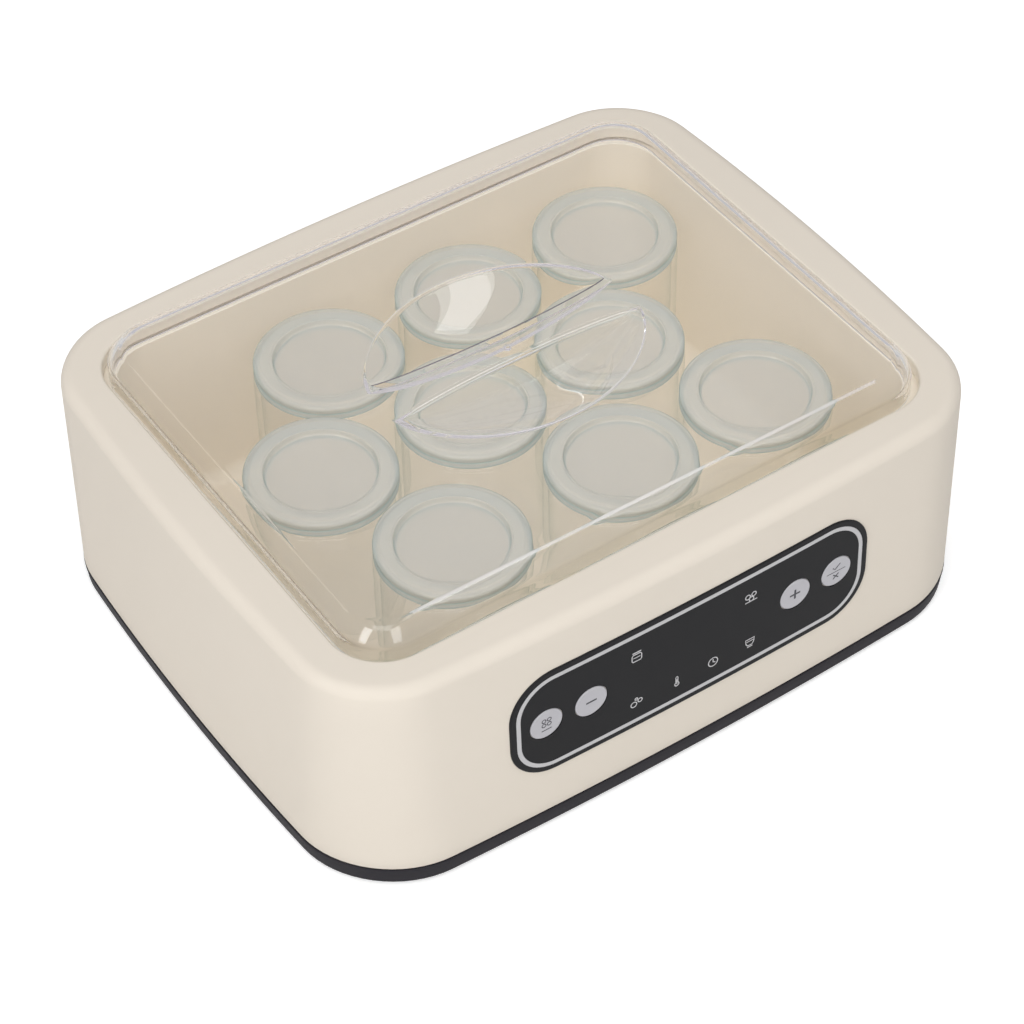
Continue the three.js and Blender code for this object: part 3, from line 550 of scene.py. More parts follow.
rings = []
FR = 7.0
for k in range(0, 9):
    a = math.radians(90 * k / 8)
    rings.append(wrect(wd(WELL_FLOOR + FR) - FR * (1 - math.sin(a)), WELL_FLOOR + FR * (1 - math.cos(a))))
for z in np.linspace(WELL_FLOOR + 16, LEDGE_Z - 3, 6):
    rings.append(wrect(wd(z), z))
for k in range(0, 5):
    a = math.radians(90 * k / 4)
    rings.append(wrect(0.4 * (1 - math.cos(a)), LEDGE_Z - 0.4 + 0.4 * math.sin(a)))
rings.append(wrect(6.6, LEDGE_Z))
rings.append(wrect(7.0, LEDGE_Z - 0.4))
rings.append(wrect(7.0, LEDGE_Z - 2.5))
rings.append(wrect(2.2, LEDGE_Z - 2.5))
rings.append(wrect(2.0 + wd(WELL_FLOOR + 8), WELL_FLOOR + 6))
rings.append(wrect(0.4 + wd(WELL_FLOOR), WELL_FLOOR + 0.8))
rings.append(wrect(-4.0 + wd(WELL_FLOOR), WELL_FLOOR - 2.0))
v, f = strip_rings(rings, cap_first=True, cap_last=True)
make_obj("well_liner", v, f, WELL_LIGHTENED_CREAM, "root", ["inner_well"], sharp=40)

# ---------------------------------------------------------------- base tray
def band(o, z):
    return with_z(brect(CASE_W + 2 * o, CASE_D + 2 * o, CASE_R0 + o, BOW_X, BOW_Y, N, M), z)


def band_side(z):
    return -BAND_TUCK * (BAND_TOP - z) / (BAND_TOP - FOOT_DROP)


rings = [band(band_side(2) - 1.6, FOOT_DROP)]
for k in range(1, 6):
    a = math.radians(90 * k / 5)
    rings.append(band(band_side(3) - 1.2 * (1 - math.sin(a)), FOOT_DROP + 1.2 * (1 - math.cos(a))))
rings += [band(band_side(6), 6), band(0.1, BAND_TOP - 0.75), band(0.05, BAND_TOP - 0.45), band(-0.15, BAND_TOP - 0.25), band(-0.5, BAND_TOP - 0.15), band(-1.5, BAND_TOP - 0.15)]
sp = -(CASE_WALL + 0.3)
rings += [band(sp + 0.05, BAND_TOP - 0.15), band(sp, BAND_TOP + 0.4), band(sp - 0.15, BAND_TOP + 4), band(sp - 2.2, BAND_TOP + 4), band(sp - 2.2, FOOT_DROP + 2.5)]
v, f = strip_rings(rings, cap_first=True, cap_last=True)
base = make_obj("base_tray_shell", v, f, CHARCOAL, "root", ["base_tray"], sharp=40)
FOOT_AT = {}
for k in ("back_right", "back_left", "front_left", "front_right"):
    lo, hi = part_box("foot_" + k)
    FOOT_AT[k] = ((lo.x + hi.x) / 2 / MM, (lo.y + hi.y) / 2 / MM)
SCREW_AT = {}
for k in ("back_right", "back_left", "front_left", "front_right"):
    lo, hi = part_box("case_screw_" + k)
    SCREW_AT[k] = ((lo.x + hi.x) / 2 / MM, (lo.y + hi.y) / 2 / MM)


def cutter(items):
    parts = []
    for x, y, r, z0, z1 in items:
        v, f = lathe([(r, z0), (r, z1)], 48)
        n = 48
        f = list(f) + [tuple(range(n - 1, -1, -1)), tuple(range(n, 2 * n))]
        parts.append((v + np.array([x, y, 0]), f))
    v, f = join(parts)
    return make_obj("cutter", v, f, None, None)


cut = cutter([(x, y, 8.3, 0.0, 3.3) for x, y in FOOT_AT.values()] + [(x, y, 3.4, 0.0, 4.2) for x, y in SCREW_AT.values()])
carve(base, cut, 40)

for k, (x, y) in FOOT_AT.items():
    prof = [(0, 0.25)] + [(4.4, 0.25), (4.8, 0.0), (6.9, 0.0)] + arc(7.0, 0.9, 0.9, -80, 0, 5) + [(8.0, 1.4), (8.0, 3.0), (0, 3.0)]
    v, f = lathe(prof, 48)
    make_obj("foot_pad_" + k, v, f, RUBBER, "root", ["foot_" + k], offset=(x, y, 0), weld=0.001)
for k, (x, y) in SCREW_AT.items():
    # pan head, seen from below
    prof = [(0, 2.6), (2.2, 2.6)] + arc(2.2, 3.4, 0.8, -90, 0, 4) + [(3.0, 4.6), (1.3, 4.6), (1.3, 14.6), (0, 15.8)]
    v, f = lathe(prof, 32)
    make_obj("base_screw_" + k, v, f, STEEL, "root", ["case_screw_" + k], offset=(x, y, 0), weld=0.001)

# ---------------------------------------------------------------- clear lid
def side_spread(h, r, count, dense=0.0):
    return np.linspace(-(h - r), h - r, count)


class LidFrame:
    """Boundary of the raised top as descriptors, so that every ring of the skirt has matching points."""

    def __init__(self, yt, yb, hx, hy, r, n_arc=24, n_side=20, n_top=192, n_bar=14):
        top = [("R", y / (hy - r)) for y in np.linspace(yt, hy - r, n_side + 1)[:-1]]
        top += [("A", 0, 90 * k / n_arc) for k in range(n_arc)]
        top += [("T", x) for x in np.linspace(1, -1, n_top + 1)[:-1]]
        top += [("A", 1, 90 + 90 * k / n_arc) for k in range(n_arc)]
        top += [("L", y / (hy - r)) for y in np.linspace(hy - r, yt, n_side + 1)]
        left = [("L", y / (hy - r)) for y in np.linspace(yt, yb, n_bar + 1)[1:-1]]
        bot = [("L", y / (hy - r)) for y in np.linspace(yb, -(hy - r), n_side + 1)[:-1]]
        bot += [("A", 2, 180 + 90 * k / n_arc) for k in range(n_arc)]
        bot += [("B", x) for x in np.linspace(-1, 1, n_top + 1)[:-1]]
        bot += [("A", 3, 270 + 90 * k / n_arc) for k in range(n_arc)]
        bot += [("R", y / (hy - r)) for y in np.linspace(-(hy - r), yb, n_side + 1)]
        right = [("R", y / (hy - r)) for y in np.linspace(yb, yt, n_bar + 1)[1:-1]]
        self.n_bar = n_bar
        self.desc = top + left + bot + right
        self.nt, self.nl, self.nb, self.nr = len(top), len(left), len(bot), len(right)

    def ring(self, hx, hy, r):
        out = []
        for d in self.desc:
            if d[0] == "R":
                out.append((hx, d[1] * (hy - r)))
            elif d[0] == "L":
                out.append((-hx, d[1] * (hy - r)))
            elif d[0] == "T":
                out.append((d[1] * (hx - r), hy))
            elif d[0] == "B":
                out.append((d[1] * (hx - r), -hy))
            else:
                sx, sy = ((1, 1), (-1, 1), (-1, -1), (1, -1))[d[1]]
                a = math.radians(d[2])
                out.append((sx * (hx - r) + r * math.cos(a), sy * (hy - r) + r * math.sin(a)))
        return np.array(out)


def lid_top_z(x, y, T=0.0):
    """Height of the crowned top; y is measured from the middle of the lid."""
    return LID_EDGE_Z + LID_CROWN * (1 - (x / 124.0) ** 2) * (1 - (y / 96.5) ** 2) - T


def lid_sheet(T):
    """Top face of the lid (T=0) or its underside (T=wall): verts, faces and the boundary ring ids."""
    a, b, dep = SCOOP_A + T, SCOOP_B + T * 0.9, SCOOP_DEPTH
    yf = BAR_HALF - T * 0.94  # foot line of the scoop walls from the middle of the bar
    cy = BAR_CY - LID_CY
    hx, hy, r = LID_TOPX - T * LID_TK, LID_TOPY - T * LID_TK, LID_TOPR - T * 0.6
    lf = LidFrame(cy + yf, cy - yf, hx, hy, r)
    ring = lf.ring(hx, hy, r)
    fil_front, fil_back = 1.25 + 0.5 * T, 0.5 + 0.5 * T  # roundings at the top of the bar walls
    verts, faces = [], []

    def add(x, y, z):
        verts.append((x, y + LID_CY, z))
        return len(verts) - 1

    # stations along X: tight at the scoop tips
    def depth_at(x):
        q = max(1 - (x / a) ** 2, 0.0)
        return dep * q ** SCOOP_POWER, q

    def dish_pt(x, t):
        """Point of the dish at station x and share t (0 foot, 1 rim) of its breadth: y from the foot line, and depth."""
        D, q = depth_at(x)
        lip = 0.03  # small rounding where the dish meets the top
        half = 0.5 * math.sin(PI / 2 * lip)
        if t > 1 - lip:
            g = half * ((1 - t) / lip) ** 2
        else:
            g = math.cos(PI / 2 * t) - half
        return b * q ** SCOOP_ARC * t, D * g / (1 - half)

    K = lf.nt
    edge_rows = {}
    boundary = np.full(len(ring), -1)
    ts = [0.0, 0.04, 0.08, 0.125, 0.17, 0.22, 0.27, 0.32, 0.37, 0.42, 0.47, 0.52, 0.57, 0.62, 0.67, 0.715, 0.76, 0.8, 0.84, 0.875, 0.91, 0.93, 0.95, 0.96, 0.97, 0.975, 0.98, 0.984, 0.9875, 0.991, 0.994, 0.997, 1.0]
    ss = [0.01, 0.03, 0.07, 0.14, 0.25, 0.4, 0.56, 0.72, 0.86, 0.95, 1.0]
    phi = np.linspace(0, PI, 65)
    xs_in = a * np.cos(phi)  # from +a to -a
    for side, lo, cnt in ((1, 0, lf.nt), (-1, lf.nt + lf.nl, lf.nb)):
        B = ring[lo:lo + cnt]
        if side < 0:
            B = B[::-1]
        # parameter of the boundary points matched to the stations by angle about the foot centre
        thB = np.arctan2(side * (B[:, 1] - (cy + side * yf)) / (hy - yf), B[:, 0] / hx)
        thB[0], thB[-1] = 0.0, PI
        xk = a * np.cos(thB)
        xk[0], xk[-1] = a, -a
        grid = []
        for t in ts:
            row = []
            for k in range(K):
                dy, dd = dish_pt(xk[k], t)
                y = cy + side * (yf + dy)
                row.append(add(xk[k], y, lid_top_z(xk[k], y, T) - dd))
            grid.append(row)
        for s in ss:
            row = []
            for k in range(K):
                dy, _ = dish_pt(xk[k], 1.0)
                ex, ey = xk[k], cy + side * (yf + dy)
                x, y = ex + (B[k, 0] - ex) * s, ey + (B[k, 1] - ey) * s
                row.append(add(x, y, lid_top_z(x, y, T)))
            grid.append(row)
        for k in range(K):
            boundary[lo + (k if side > 0 else K - 1 - k)] = grid[-1][k]
        flip = side < 0
        for j in range(len(grid) - 1):
            for k in range(K - 1):
                q = (grid[j][k], grid[j + 1][k], grid[j + 1][k + 1], grid[j][k + 1])
                faces.append(q[::-1] if flip else q)
        # along the foot line from -X to +X: outer run, foot of the wall, outer run
        left = [grid[j][K - 1] for j in range(len(grid) - 1, len(ts) - 1, -1)]
        right = [grid[j][0] for j in range(len(ts), len(grid))]
        edge_rows[side] = left + grid[0][::-1] + right

    def wall(D, fil):
        """Profile up a bar wall: (distance in from the foot line, height below the top)."""
        lean = BAR_LEAN * D
        rr_ = min(fil, 0.3 * D)
        pts = []
        ang = math.atan(BAR_LEAN)
        tl = rr_ * math.tan((PI / 2 - ang) / 2)  # tangent length of the rounding
        ux, uz = math.sin(ang), math.cos(ang)
        fx, fz = lean - tl * ux, tl * uz  # start of the rounding on the wall
        for w in (0.33, 0.66, 1.0):
            pts.append((fx * w, D - (D - fz) * w))
        ccx, ccz = lean + tl, rr_
        for k in range(1, 9):
            al = ang + (PI / 2 - ang) * k / 8
            pts.append((ccx - rr_ * math.cos(al), ccz - rr_ * math.sin(al)))
        return pts

    L1, L2 = edge_rows[1], edge_rows[-1]
    cols = []
    for i in range(len(L1)):
        x = 0.5 * (verts[L1[i]][0] + verts[L2[i]][0])
        D, _ = depth_at(x)
        if abs(x) >= a:
            D = 0.0
        front, back = wall(D, fil_front), wall(D, fil_back)
        y_lo, y_hi = -yf + front[-1][0], yf - back[-1][0]
        end = i in (0, len(L1) - 1)

        def zt(y):
            return lid_top_z(x, y, T)

        col = [L2[i]]
        for dy, dz in front:
            y = cy - (yf - dy)
            col.append(add(x, y, zt(y) - dz))
        mids = np.linspace(-yf if end else y_lo, yf if end else y_hi, lf.n_bar + 1)[1:-1]
        if not end:
            mids[-1] = max(y_hi - 0.3, 0.5 * (mids[-2] + y_hi))  # narrow strip beside the back rounding
        new = [add(x, cy + y, zt(cy + y)) for y in mids]
        col += new
        for dy, dz in back[::-1]:
            y = cy + (yf - dy)
            col.append(add(x, y, zt(y) - dz))
        col.append(L1[i])
        cols.append(col)
        if i == 0:
            for t, vid in enumerate(new[::-1]):
                boundary[lf.nt + t] = vid
        if end and i:
            for t, vid in enumerate(new):
                boundary[lf.nt + lf.nl + lf.nb + t] = vid
    for i in range(len(cols) - 1):
        for k in range(len(cols[0]) - 1):
            faces.append((cols[i][k], cols[i + 1][k], cols[i + 1][k + 1], cols[i][k + 1]))
    return np.array(verts), faces, boundary, lf


# outline of the skirt and shoulder: (inset from the skirt, height)
# above the case the wall leans in, runs up a steep shoulder and turns over a small edge on to the top
prof = [(1.0, LEDGE_Z + 0.3), (0.35, LEDGE_Z + 0.4), (0.0, LEDGE_Z + 0.9), (0.03, LEDGE_Z + 3), (0.08, 107.0)]
BENDS = ((2.9, 0, 24, 7), (6.3, 24, 50, 10), (1.2, 50, 64, 4), (1.6, 64, 78, 8), (0.6, 78, 89, 4))  # length, lean from, lean to, steps
path = [(0.0, 0.0)]
for length, t0, t1, steps in BENDS:
    for k in range(steps):
        th = math.radians(t0 + (t1 - t0) * (k + 0.5) / steps)
        path.append((path[-1][0] + math.sin(th) * length / steps, path[-1][1] + math.cos(th) * length / steps))
for i_, z_ in path:
    prof.append((0.1 + i_, LID_EDGE_Z - path[-1][1] + z_))
prof.append((prof[-1][0] + 0.5, LID_EDGE_Z))
LID_DK = 1.0
LID_TOPX, LID_TOPY, LID_TOPR, LID_TK = LID_W / 2 - prof[-1][0], LID_D / 2 - prof[-1][0] * LID_DK, 16.6, 0.75


def lid_profile_ring(lf, ins, z, T=0.0):
    k = min(ins / prof[-1][0], 1.6)
    r = LID_R + (LID_TOPR - LID_R) * min(k, 1.0)
    ring = lf.ring(LID_W / 2 - ins, LID_D / 2 - ins * (LID_DK if T == 0 else 1.0), max(r - T * 0.6, 3))
    return np.column_stack([ring[:, 0], ring[:, 1] + LID_CY, np.full(len(ring), z)])


def inner_profile(T):
    """The outline moved inwards by the wall thickness."""
    p = np.array(prof)
    t = np.gradient(p, axis=0)
    t /= np.linalg.norm(t, axis=1)[:, None]
    n = np.column_stack([t[:, 1], -t[:, 0]])  # towards the inside and down
    q = p + n * T
    q[:3] = [(T - 0.5, LEDGE_Z + 0.3), (T - 0.1, LEDGE_Z + 0.5), (T + 0.05, LEDGE_Z + 1.1)]
    return [tuple(x) for x in q]


def build_lid():
    vo, fo, bo, lf = lid_sheet(0.0)
    vi, fi, bi, lfi = lid_sheet(LID_T)
    verts, faces = list(map(tuple, vo)), list(fo)
    base_i = len(verts)
    verts += list(map(tuple, vi))
    faces += [tuple(i + base_i for i in q)[::-1] for q in fi]
    bi = bi + base_i
    n = len(bo)
    prev = list(bo)
    for ins, z in prof[::-1][1:]:
        ring = lid_profile_ring(lf, ins, z)
        ids = list(range(len(verts), len(verts) + n))
        verts += list(map(tuple, ring))
        for i in range(n):
            j = (i + 1) % n
            faces.append((prev[i], ids[i], ids[j], prev[j]))
        prev = ids
    inner = inner_profile(LID_T)
    edge_x, edge_y = LID_TOPX - LID_T * LID_TK, LID_TOPY - LID_T * LID_TK
    seq = []
    for ins, z in inner[:-1]:
        z = min(z, LID_EDGE_Z - LID_T)
        seq.append((ins, z))
    last_ins = LID_W / 2 - edge_x
    for ins, z in seq:
        w = min(max(ins / last_ins, 0), 1)
        hx = LID_W / 2 - min(ins, last_ins - 0.1)
        hy = LID_D / 2 - min(ins, last_ins - 0.1) * ((LID_D / 2 - edge_y) / last_ins) * w - min(ins, last_ins) * (1 - w)
        r = (LID_R - LID_T * 0.6) * (1 - w) + (LID_TOPR - LID_T * 0.6) * w
        ring = lfi.ring(hx, hy, r)
        ring = np.column_stack([ring[:, 0], ring[:, 1] + LID_CY, np.full(len(ring), z)])
        ids = list(range(len(verts), len(verts) + n))
        verts += list(map(tuple, ring))
        for i in range(n):
            j = (i + 1) % n
            faces.append((prev[i], ids[i], ids[j], prev[j]))
        prev = ids
    for i in range(n):
        j = (i + 1) % n
        faces.append((prev[i], bi[i], bi[j], prev[j]))
    return verts, faces


v, f = build_lid()
lid = make_obj("lid_shell", v, f, LID, "lid", ["clear_lid"], sharp=50, weld=0.002, even=False)
# painted shade and painted highlight on the tight roundings along the grip bar: narrow strips get a matte dark lilac on
# the back one (a thin dark line) and a matte white on the front one (a double bright line)
lid.data.materials.append(LID_PAINTED_DARK_LINE)
lid.data.materials.append(LID_PAINTED_BRIGHT_LINE)
lid.data.materials.append(LID_PAINTED_SOFT_HIGHLIGHT)
for q in lid.data.polygons:
    x, y, z = (c / MM for c in q.center)
    if abs(x) > SCOOP_A - 0.5 or abs(y - BAR_CY) > BAR_HALF:
        continue
    deep = SCOOP_DEPTH * (1 - (x / SCOOP_A) ** 2) ** SCOOP_POWER
    below = lid_top_z(x, y - LID_CY) - z
    back_side = y > BAR_CY
    rr = min(0.5 if back_side else 1.25, 0.3 * deep)
    along = BAR_HALF - abs(y - BAR_CY) - BAR_LEAN * deep
    if -0.3 * rr < along < 0.72 * rr + (0.2 if back_side else 0.0) and -0.01 <= below < 0.9 * rr and q.normal.z > 0.05:
        if back_side:
            q.material_index = 1
        elif below < 0.055 * rr or below > 0.42 * rr:
            q.material_index = 2
# painted highlight: a narrow strip along the front edge of the raised top gets a matte white share
for q in lid.data.polygons:
    x, y, z = (c / MM for c in q.center)
    if abs(x) < LID_TOPX - LID_TOPR and 0.938 < q.normal.z < 0.993 and y < LID_CY - LID_TOPY + 0.3:
        q.material_index = 3
# painted highlights on the turned rims of the two scoops: matte white bands, two on the front rim and one on the back
# rim
for q in lid.data.polygons:
    x, y, z = (c / MM for c in q.center)
    if abs(x) > SCOOP_A - 0.8 or abs(y - BAR_CY) < BAR_HALF or q.normal.z < 0.2:
        continue
    share = (abs(y - BAR_CY) - BAR_HALF) / (SCOOP_B * (1 - (x / SCOOP_A) ** 2) ** SCOOP_ARC)
    if 0.9 < share < 1.0 and abs(lid_top_z(x, y - LID_CY) - z) < 1.2:
        if y > BAR_CY:
            if 0.9845 < share:
                q.material_index = 3
        elif 0.968 < share < 0.9805 or share > 0.9905:
            q.material_index = 2
v, f = lathe([(0, -0.6), (1.7, -0.6), (1.6, 0.35), (1.3, 0.6), (0.5, 0.62), (0, 0.5)], 28)
make_obj("lid_gate_mark", v, f, LID, "lid", offset=(0, LID_CY, LID_EDGE_Z + LID_CROWN + 0.2), weld=0.001)

# ---------------------------------------------------------------- pots and their lids
jar_prof = [(0, 15.6), (18.0, 15.6), (22.5, 15.0), (25.0, 14.4)] + arc(26.4, 18.8, 4.5, -90, 0, 8) + [(JAR_R, 24), (JAR_R, 50), (JAR_R, 76.5)] + arc(JAR_R - 1.6, 78.3, 1.6, 5, 80, 6)
jar_prof += [(JAR_NECK_R + 0.15, 80.4), (JAR_NECK_R, 81.2), (JAR_NECK_R, 84.0), (JAR_NECK_R + 0.2, 85.2)] + arc(JAR_NECK_R - 1.0, 85.4, 1.1, 0, 180, 8)
jar_prof += [(JAR_NECK_R - 2.1, 83), (JAR_NECK_R - 2.1, 80.6)] + [(JAR_R - JAR_WALL - 0.2, 77.5), (JAR_R - JAR_WALL, 75), (JAR_R - JAR_WALL, 50), (JAR_R - JAR_WALL, 26)] + arc(24.0, 23.4, 4.4, 0, -80, 7) + [(18, 18.6), (0, 18.4)]
li = JAR_NECK_R + 0.35
jl_prof = [(0, 84.4), (JLID_RECESS_R - 1.0, 84.4), (JLID_RECESS_R - 0.4, 84.6), (JLID_RECESS_R + 0.7, 86.7), (JLID_RECESS_R + 1.2, 86.95), (li - 0.3, 86.95), (li, 86.7), (li, 82.3), (li + 0.3, 82.1)]
jl_prof += [(JLID_R - 0.5, 82.1), (JLID_R - 0.05, 82.4), (JLID_R, 83.0), (JLID_R - 0.1, 84.4), (JLID_R - 0.45, 84.75), (JLID_R - 0.45, 85.25), (JLID_R - 0.05, 85.65)] + arc(JLID_R - 1.3, 86.9, 1.3, 0, 90, 7)
jl_prof += [(28.6, 88.22), (28.2, 88.36), (27.8, 88.6), (27.0, 88.62), (25.2, 88.45), (JLID_RECESS_R + 1.5, 88.35), (JLID_RECESS_R + 1.3, 88.4), (JLID_RECESS_R + 1.1, 88.6), (JLID_RECESS_R + 0.8, 88.68), (JLID_RECESS_R + 0.5, 88.58), (JLID_RECESS_R + 0.3, 88.2), (JLID_RECESS_R + 0.1, 87.2), (JLID_RECESS_R - 0.15, 86.55), (JLID_RECESS_R - 0.6, 86.25), (JLID_RECESS_R - 1.2, 86.2), (14.0, 86.15), (0, 86.15)]
JARS = []
for i in range(1, 10):
    lo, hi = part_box(f"jar_{i}")
    x, y = (lo.x + hi.x) / 2 / MM, (lo.y + hi.y) / 2 / MM
    JARS.append((x, y))
    v, f = lathe(jar_prof, 80)
    make_obj(f"pot_glass_{i}", v, f, GLASS, f"jar_{i}", [f"jar_{i}"], offset=(x, y, 0), weld=0.001, sharp=60)
    v, f = lathe(jl_prof, 80)
    cap = make_obj(f"pot_lid_{i}", v, f, FROST, f"jar_lid_{i}", [f"jar_lid_{i}"], offset=(x, y, 0), weld=0.001, sharp=50)
    cap.data.materials.append(FROST_RIM)
    for q in cap.data.polygons:
        c = q.center
        if math.hypot(c.x / MM - x, c.y / MM - y) > JLID_RECESS_R - 0.8:
            q.material_index = 1

# ---------------------------------------------------------------- control panel
def outline(inset, n=14, m=40):
    return brect(PANEL_W - 2 * inset, PANEL_H - 2 * inset, max(PANEL_R - inset, 3), 0, 0, n, m)


def on_front(p, o):
    """Points given as x and height above the panel centre, laid on the case's front, o proud of it."""
    return np.array([(x, front_y(x, PANEL_Z + h, o), PANEL_Z + h) for x, h in p])


def panel_band(levels, closed=True):
    return strip_rings([on_front(outline(ins), o) for ins, o in levels], closed=closed)


pr = PANEL_PROUD
v, f = panel_band([(0.0, -1.2), (0.0, pr - 0.55), (0.12, pr - 0.25), (0.35, pr - 0.08), (0.7, pr), (RING_INSET - 0.1, pr), (RING_INSET, pr - 0.06), (RING_INSET, -0.3), (6.8, -0.3), (6.8, -1.2)])
make_obj("panel_frame_shell", v, f, PANEL, "root", ["panel_frame"], sharp=40)
v, f = panel_band([(RING_INSET + 0.06, 0.0), (RING_INSET + 0.06, pr - 0.04), (RING_INSET + 0.15, pr + 0.04), (RING_INSET + RING_W - 0.1, pr + 0.04), (RING_INSET + RING_W, pr - 0.04), (RING_INSET + RING_W, 0.0)])
make_obj("panel_ring_line", v, f, SILVER, "root", ["panel_ring"], sharp=40)
BTN = {}
for k in ("function", "minus", "plus", "confirm"):
    lo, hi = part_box("button_" + k)
    BTN[k] = ((lo.x + hi.x) / 2 / MM, lo.y / MM)


def circle(cx, cy, r, n=56):
    a = np.linspace(0, 2 * PI, n, endpoint=False)
    return np.column_stack([cx + r * np.cos(a), cy + r * np.sin(a)])


def sheet(loops, spacing, o_front, o_back, name, material, replaces=(), sharp=40):
    """Plate on the case's front with an outline loops[0] and holes loops[1:], with interior points so that it follows the bow."""
    pts, edges, base_i = [], [], 0
    for lp in loops:
        n = len(lp)
        pts += [Vector((float(p[0]), float(p[1]))) for p in lp]
        edges += [(base_i + i, base_i + (i + 1) % n) for i in range(n)]
        base_i += n
    out = np.array(loops[0])

    def inside(q, lp):
        x, y = q
        x1, y1 = lp[:, 0], lp[:, 1]
        x2, y2 = np.roll(x1, -1), np.roll(y1, -1)
        c = ((y1 > y) != (y2 > y)) & (x < (x2 - x1) * (y - y1) / (y2 - y1 + 1e-12) + x1)
        return bool(np.count_nonzero(c) % 2)

    if spacing:
        lo, hi = out.min(0), out.max(0)
        for gx in np.arange(lo[0] + spacing / 2, hi[0], spacing):
            for gy in np.arange(lo[1] + spacing / 2, hi[1], spacing):
                q = (gx, gy)
                if not inside(q, out) or np.min(np.hypot(*(out - q).T)) < spacing * 0.4:
                    continue
                if any(inside(q, np.array(h)) or np.min(np.hypot(*(np.array(h) - q).T)) < spacing * 0.3 for h in loops[1:]):
                    continue
                pts.append(Vector(q))
    vs, es, fs, _, _, _ = delaunay_2d_cdt(pts, edges, [], 0, 1e-6)
    vs = np.array([tuple(p) for p in vs])
    keep = []
    for t in fs:
        c = vs[list(t)].mean(0)
        if inside(c, out) and not any(inside(c, np.array(h)) for h in loops[1:]):
            keep.append(tuple(t))
    n = len(vs)
    F, Bk = on_front(vs, o_front), on_front(vs, o_back)
    faces = [t for t in keep] + [tuple(i + n for i in t[::-1]) for t in keep]
    count = {}
    for t in keep:
        for i in range(len(t)):
            e = (t[i], t[(i + 1) % len(t)])
            count[e] = count.get(e, 0) + 1
    for (i, j) in list(count):
        if (j, i) not in count:
            faces.append((j, i, i + n, j + n))
    return make_obj(name, np.vstack([F, Bk]), faces, material, "root", replaces, sharp=sharp)


inner = RING_INSET + RING_W + 0.06
sheet([outline(inner)] + [circle(BTN[k][0], 0, BUTTON_R + 0.22) for k in BTN], 5.0, pr - 0.02, -0.1, "panel_face_plate", PANEL, ["panel_face"])

for k, (bx, by) in BTN.items():
    # slightly dished key top with a rounded rim; the stem behind it reaches the switch
    y_f = by
    rings = []
    for r, d in ((0.05, 0.12), (3.2, 0.11), (5.2, 0.06), (6.4, 0.01), (6.75, 0.0), (7.0, 0.06), (7.15, 0.2), (BUTTON_R, 0.42), (BUTTON_R, 2.2), (2.2, 2.2), (2.2, 5.8), (0.05, 5.8)):
        a = np.linspace(0, 2 * PI, 64, endpoint=False)
        rings.append(np.column_stack([bx + r * np.cos(a), np.full(64, y_f + d), PANEL_Z + r * np.sin(a)]))
    v, f = strip_rings(rings, cap_first=True, cap_last=True)
    make_obj("key_" + k, v, f, BUTTON, "button_" + k, ["button_" + k], sharp=40)


# printed symbols: thin raised ink, plain generic pictograms
def ribbon(points, w, closed=False):
    """Outline polygon of a stroke of width w along points."""
    p = np.array(points, float)
    n = len(p)
    t = np.zeros_like(p)
    for i in range(n):
        a = p[i - 1] if (i or closed) else p[i]
        b = p[(i + 1) % n] if (i + 1 < n or closed) else p[i]
        t[i] = (b - a) / (np.linalg.norm(b - a) + 1e-9)
    nn = np.column_stack([-t[:, 1], t[:, 0]]) * w / 2
    return p + nn, p - nn


def ink(name, strokes, cx, ch, material, body, scale=1.0, proud=0.05, plane_y=None):
    """strokes: lists of (points, width, closed). Laid on the panel front, or on the flat plane y when plane_y is given."""
    parts = []
    for pts, w, closed in strokes:
        L, Rr = ribbon([(q[0] * scale, q[1] * scale) for q in pts], w, closed)
        n = len(L)

        def place(q, o):
            x, h = cx + q[:, 0], ch + q[:, 1]
            if plane_y is None:
                return np.array([(a, front_y(a, PANEL_Z + c, pr - 0.02 + o), PANEL_Z + c) for a, c in zip(x, h)])
            return np.column_stack([x, np.full(len(x), plane_y - o), PANEL_Z + h])

        vs = np.vstack([place(L, proud), place(Rr, proud), place(L, -0.05), place(Rr, -0.05)])
        fs = []
        last = n if closed else n - 1
        for i in range(last):
            j = (i + 1) % n
            fs += [(i, j, n + j, n + i), (2 * n + j, 2 * n + i, 3 * n + i, 3 * n + j), (j, i, 2 * n + i, 2 * n + j), (n + i, n + j, 3 * n + j, 3 * n + i)]
        if not closed:
            fs += [(0, n, 3 * n, 2 * n), (n - 1, 3 * n - 1, 4 * n - 1, 2 * n - 1)]
        parts.append((vs, fs))
    v, f = join(parts)
    return make_obj(name, v, f, material, body, (), sharp=30)


def circ(cx, cy, r, n=28, a0=0, a1=360):
    full = abs(a1 - a0) >= 360
    return [(cx + r * math.cos(math.radians(a0 + (a1 - a0) * k / n)), cy + r * math.sin(math.radians(a0 + (a1 - a0) * k / n))) for k in range(n if full else n + 1)]


def seg(x0, y0, x1, y1, n=6):
    return [(x0 + (x1 - x0) * k / n, y0 + (y1 - y0) * k / n) for k in range(n + 1)]


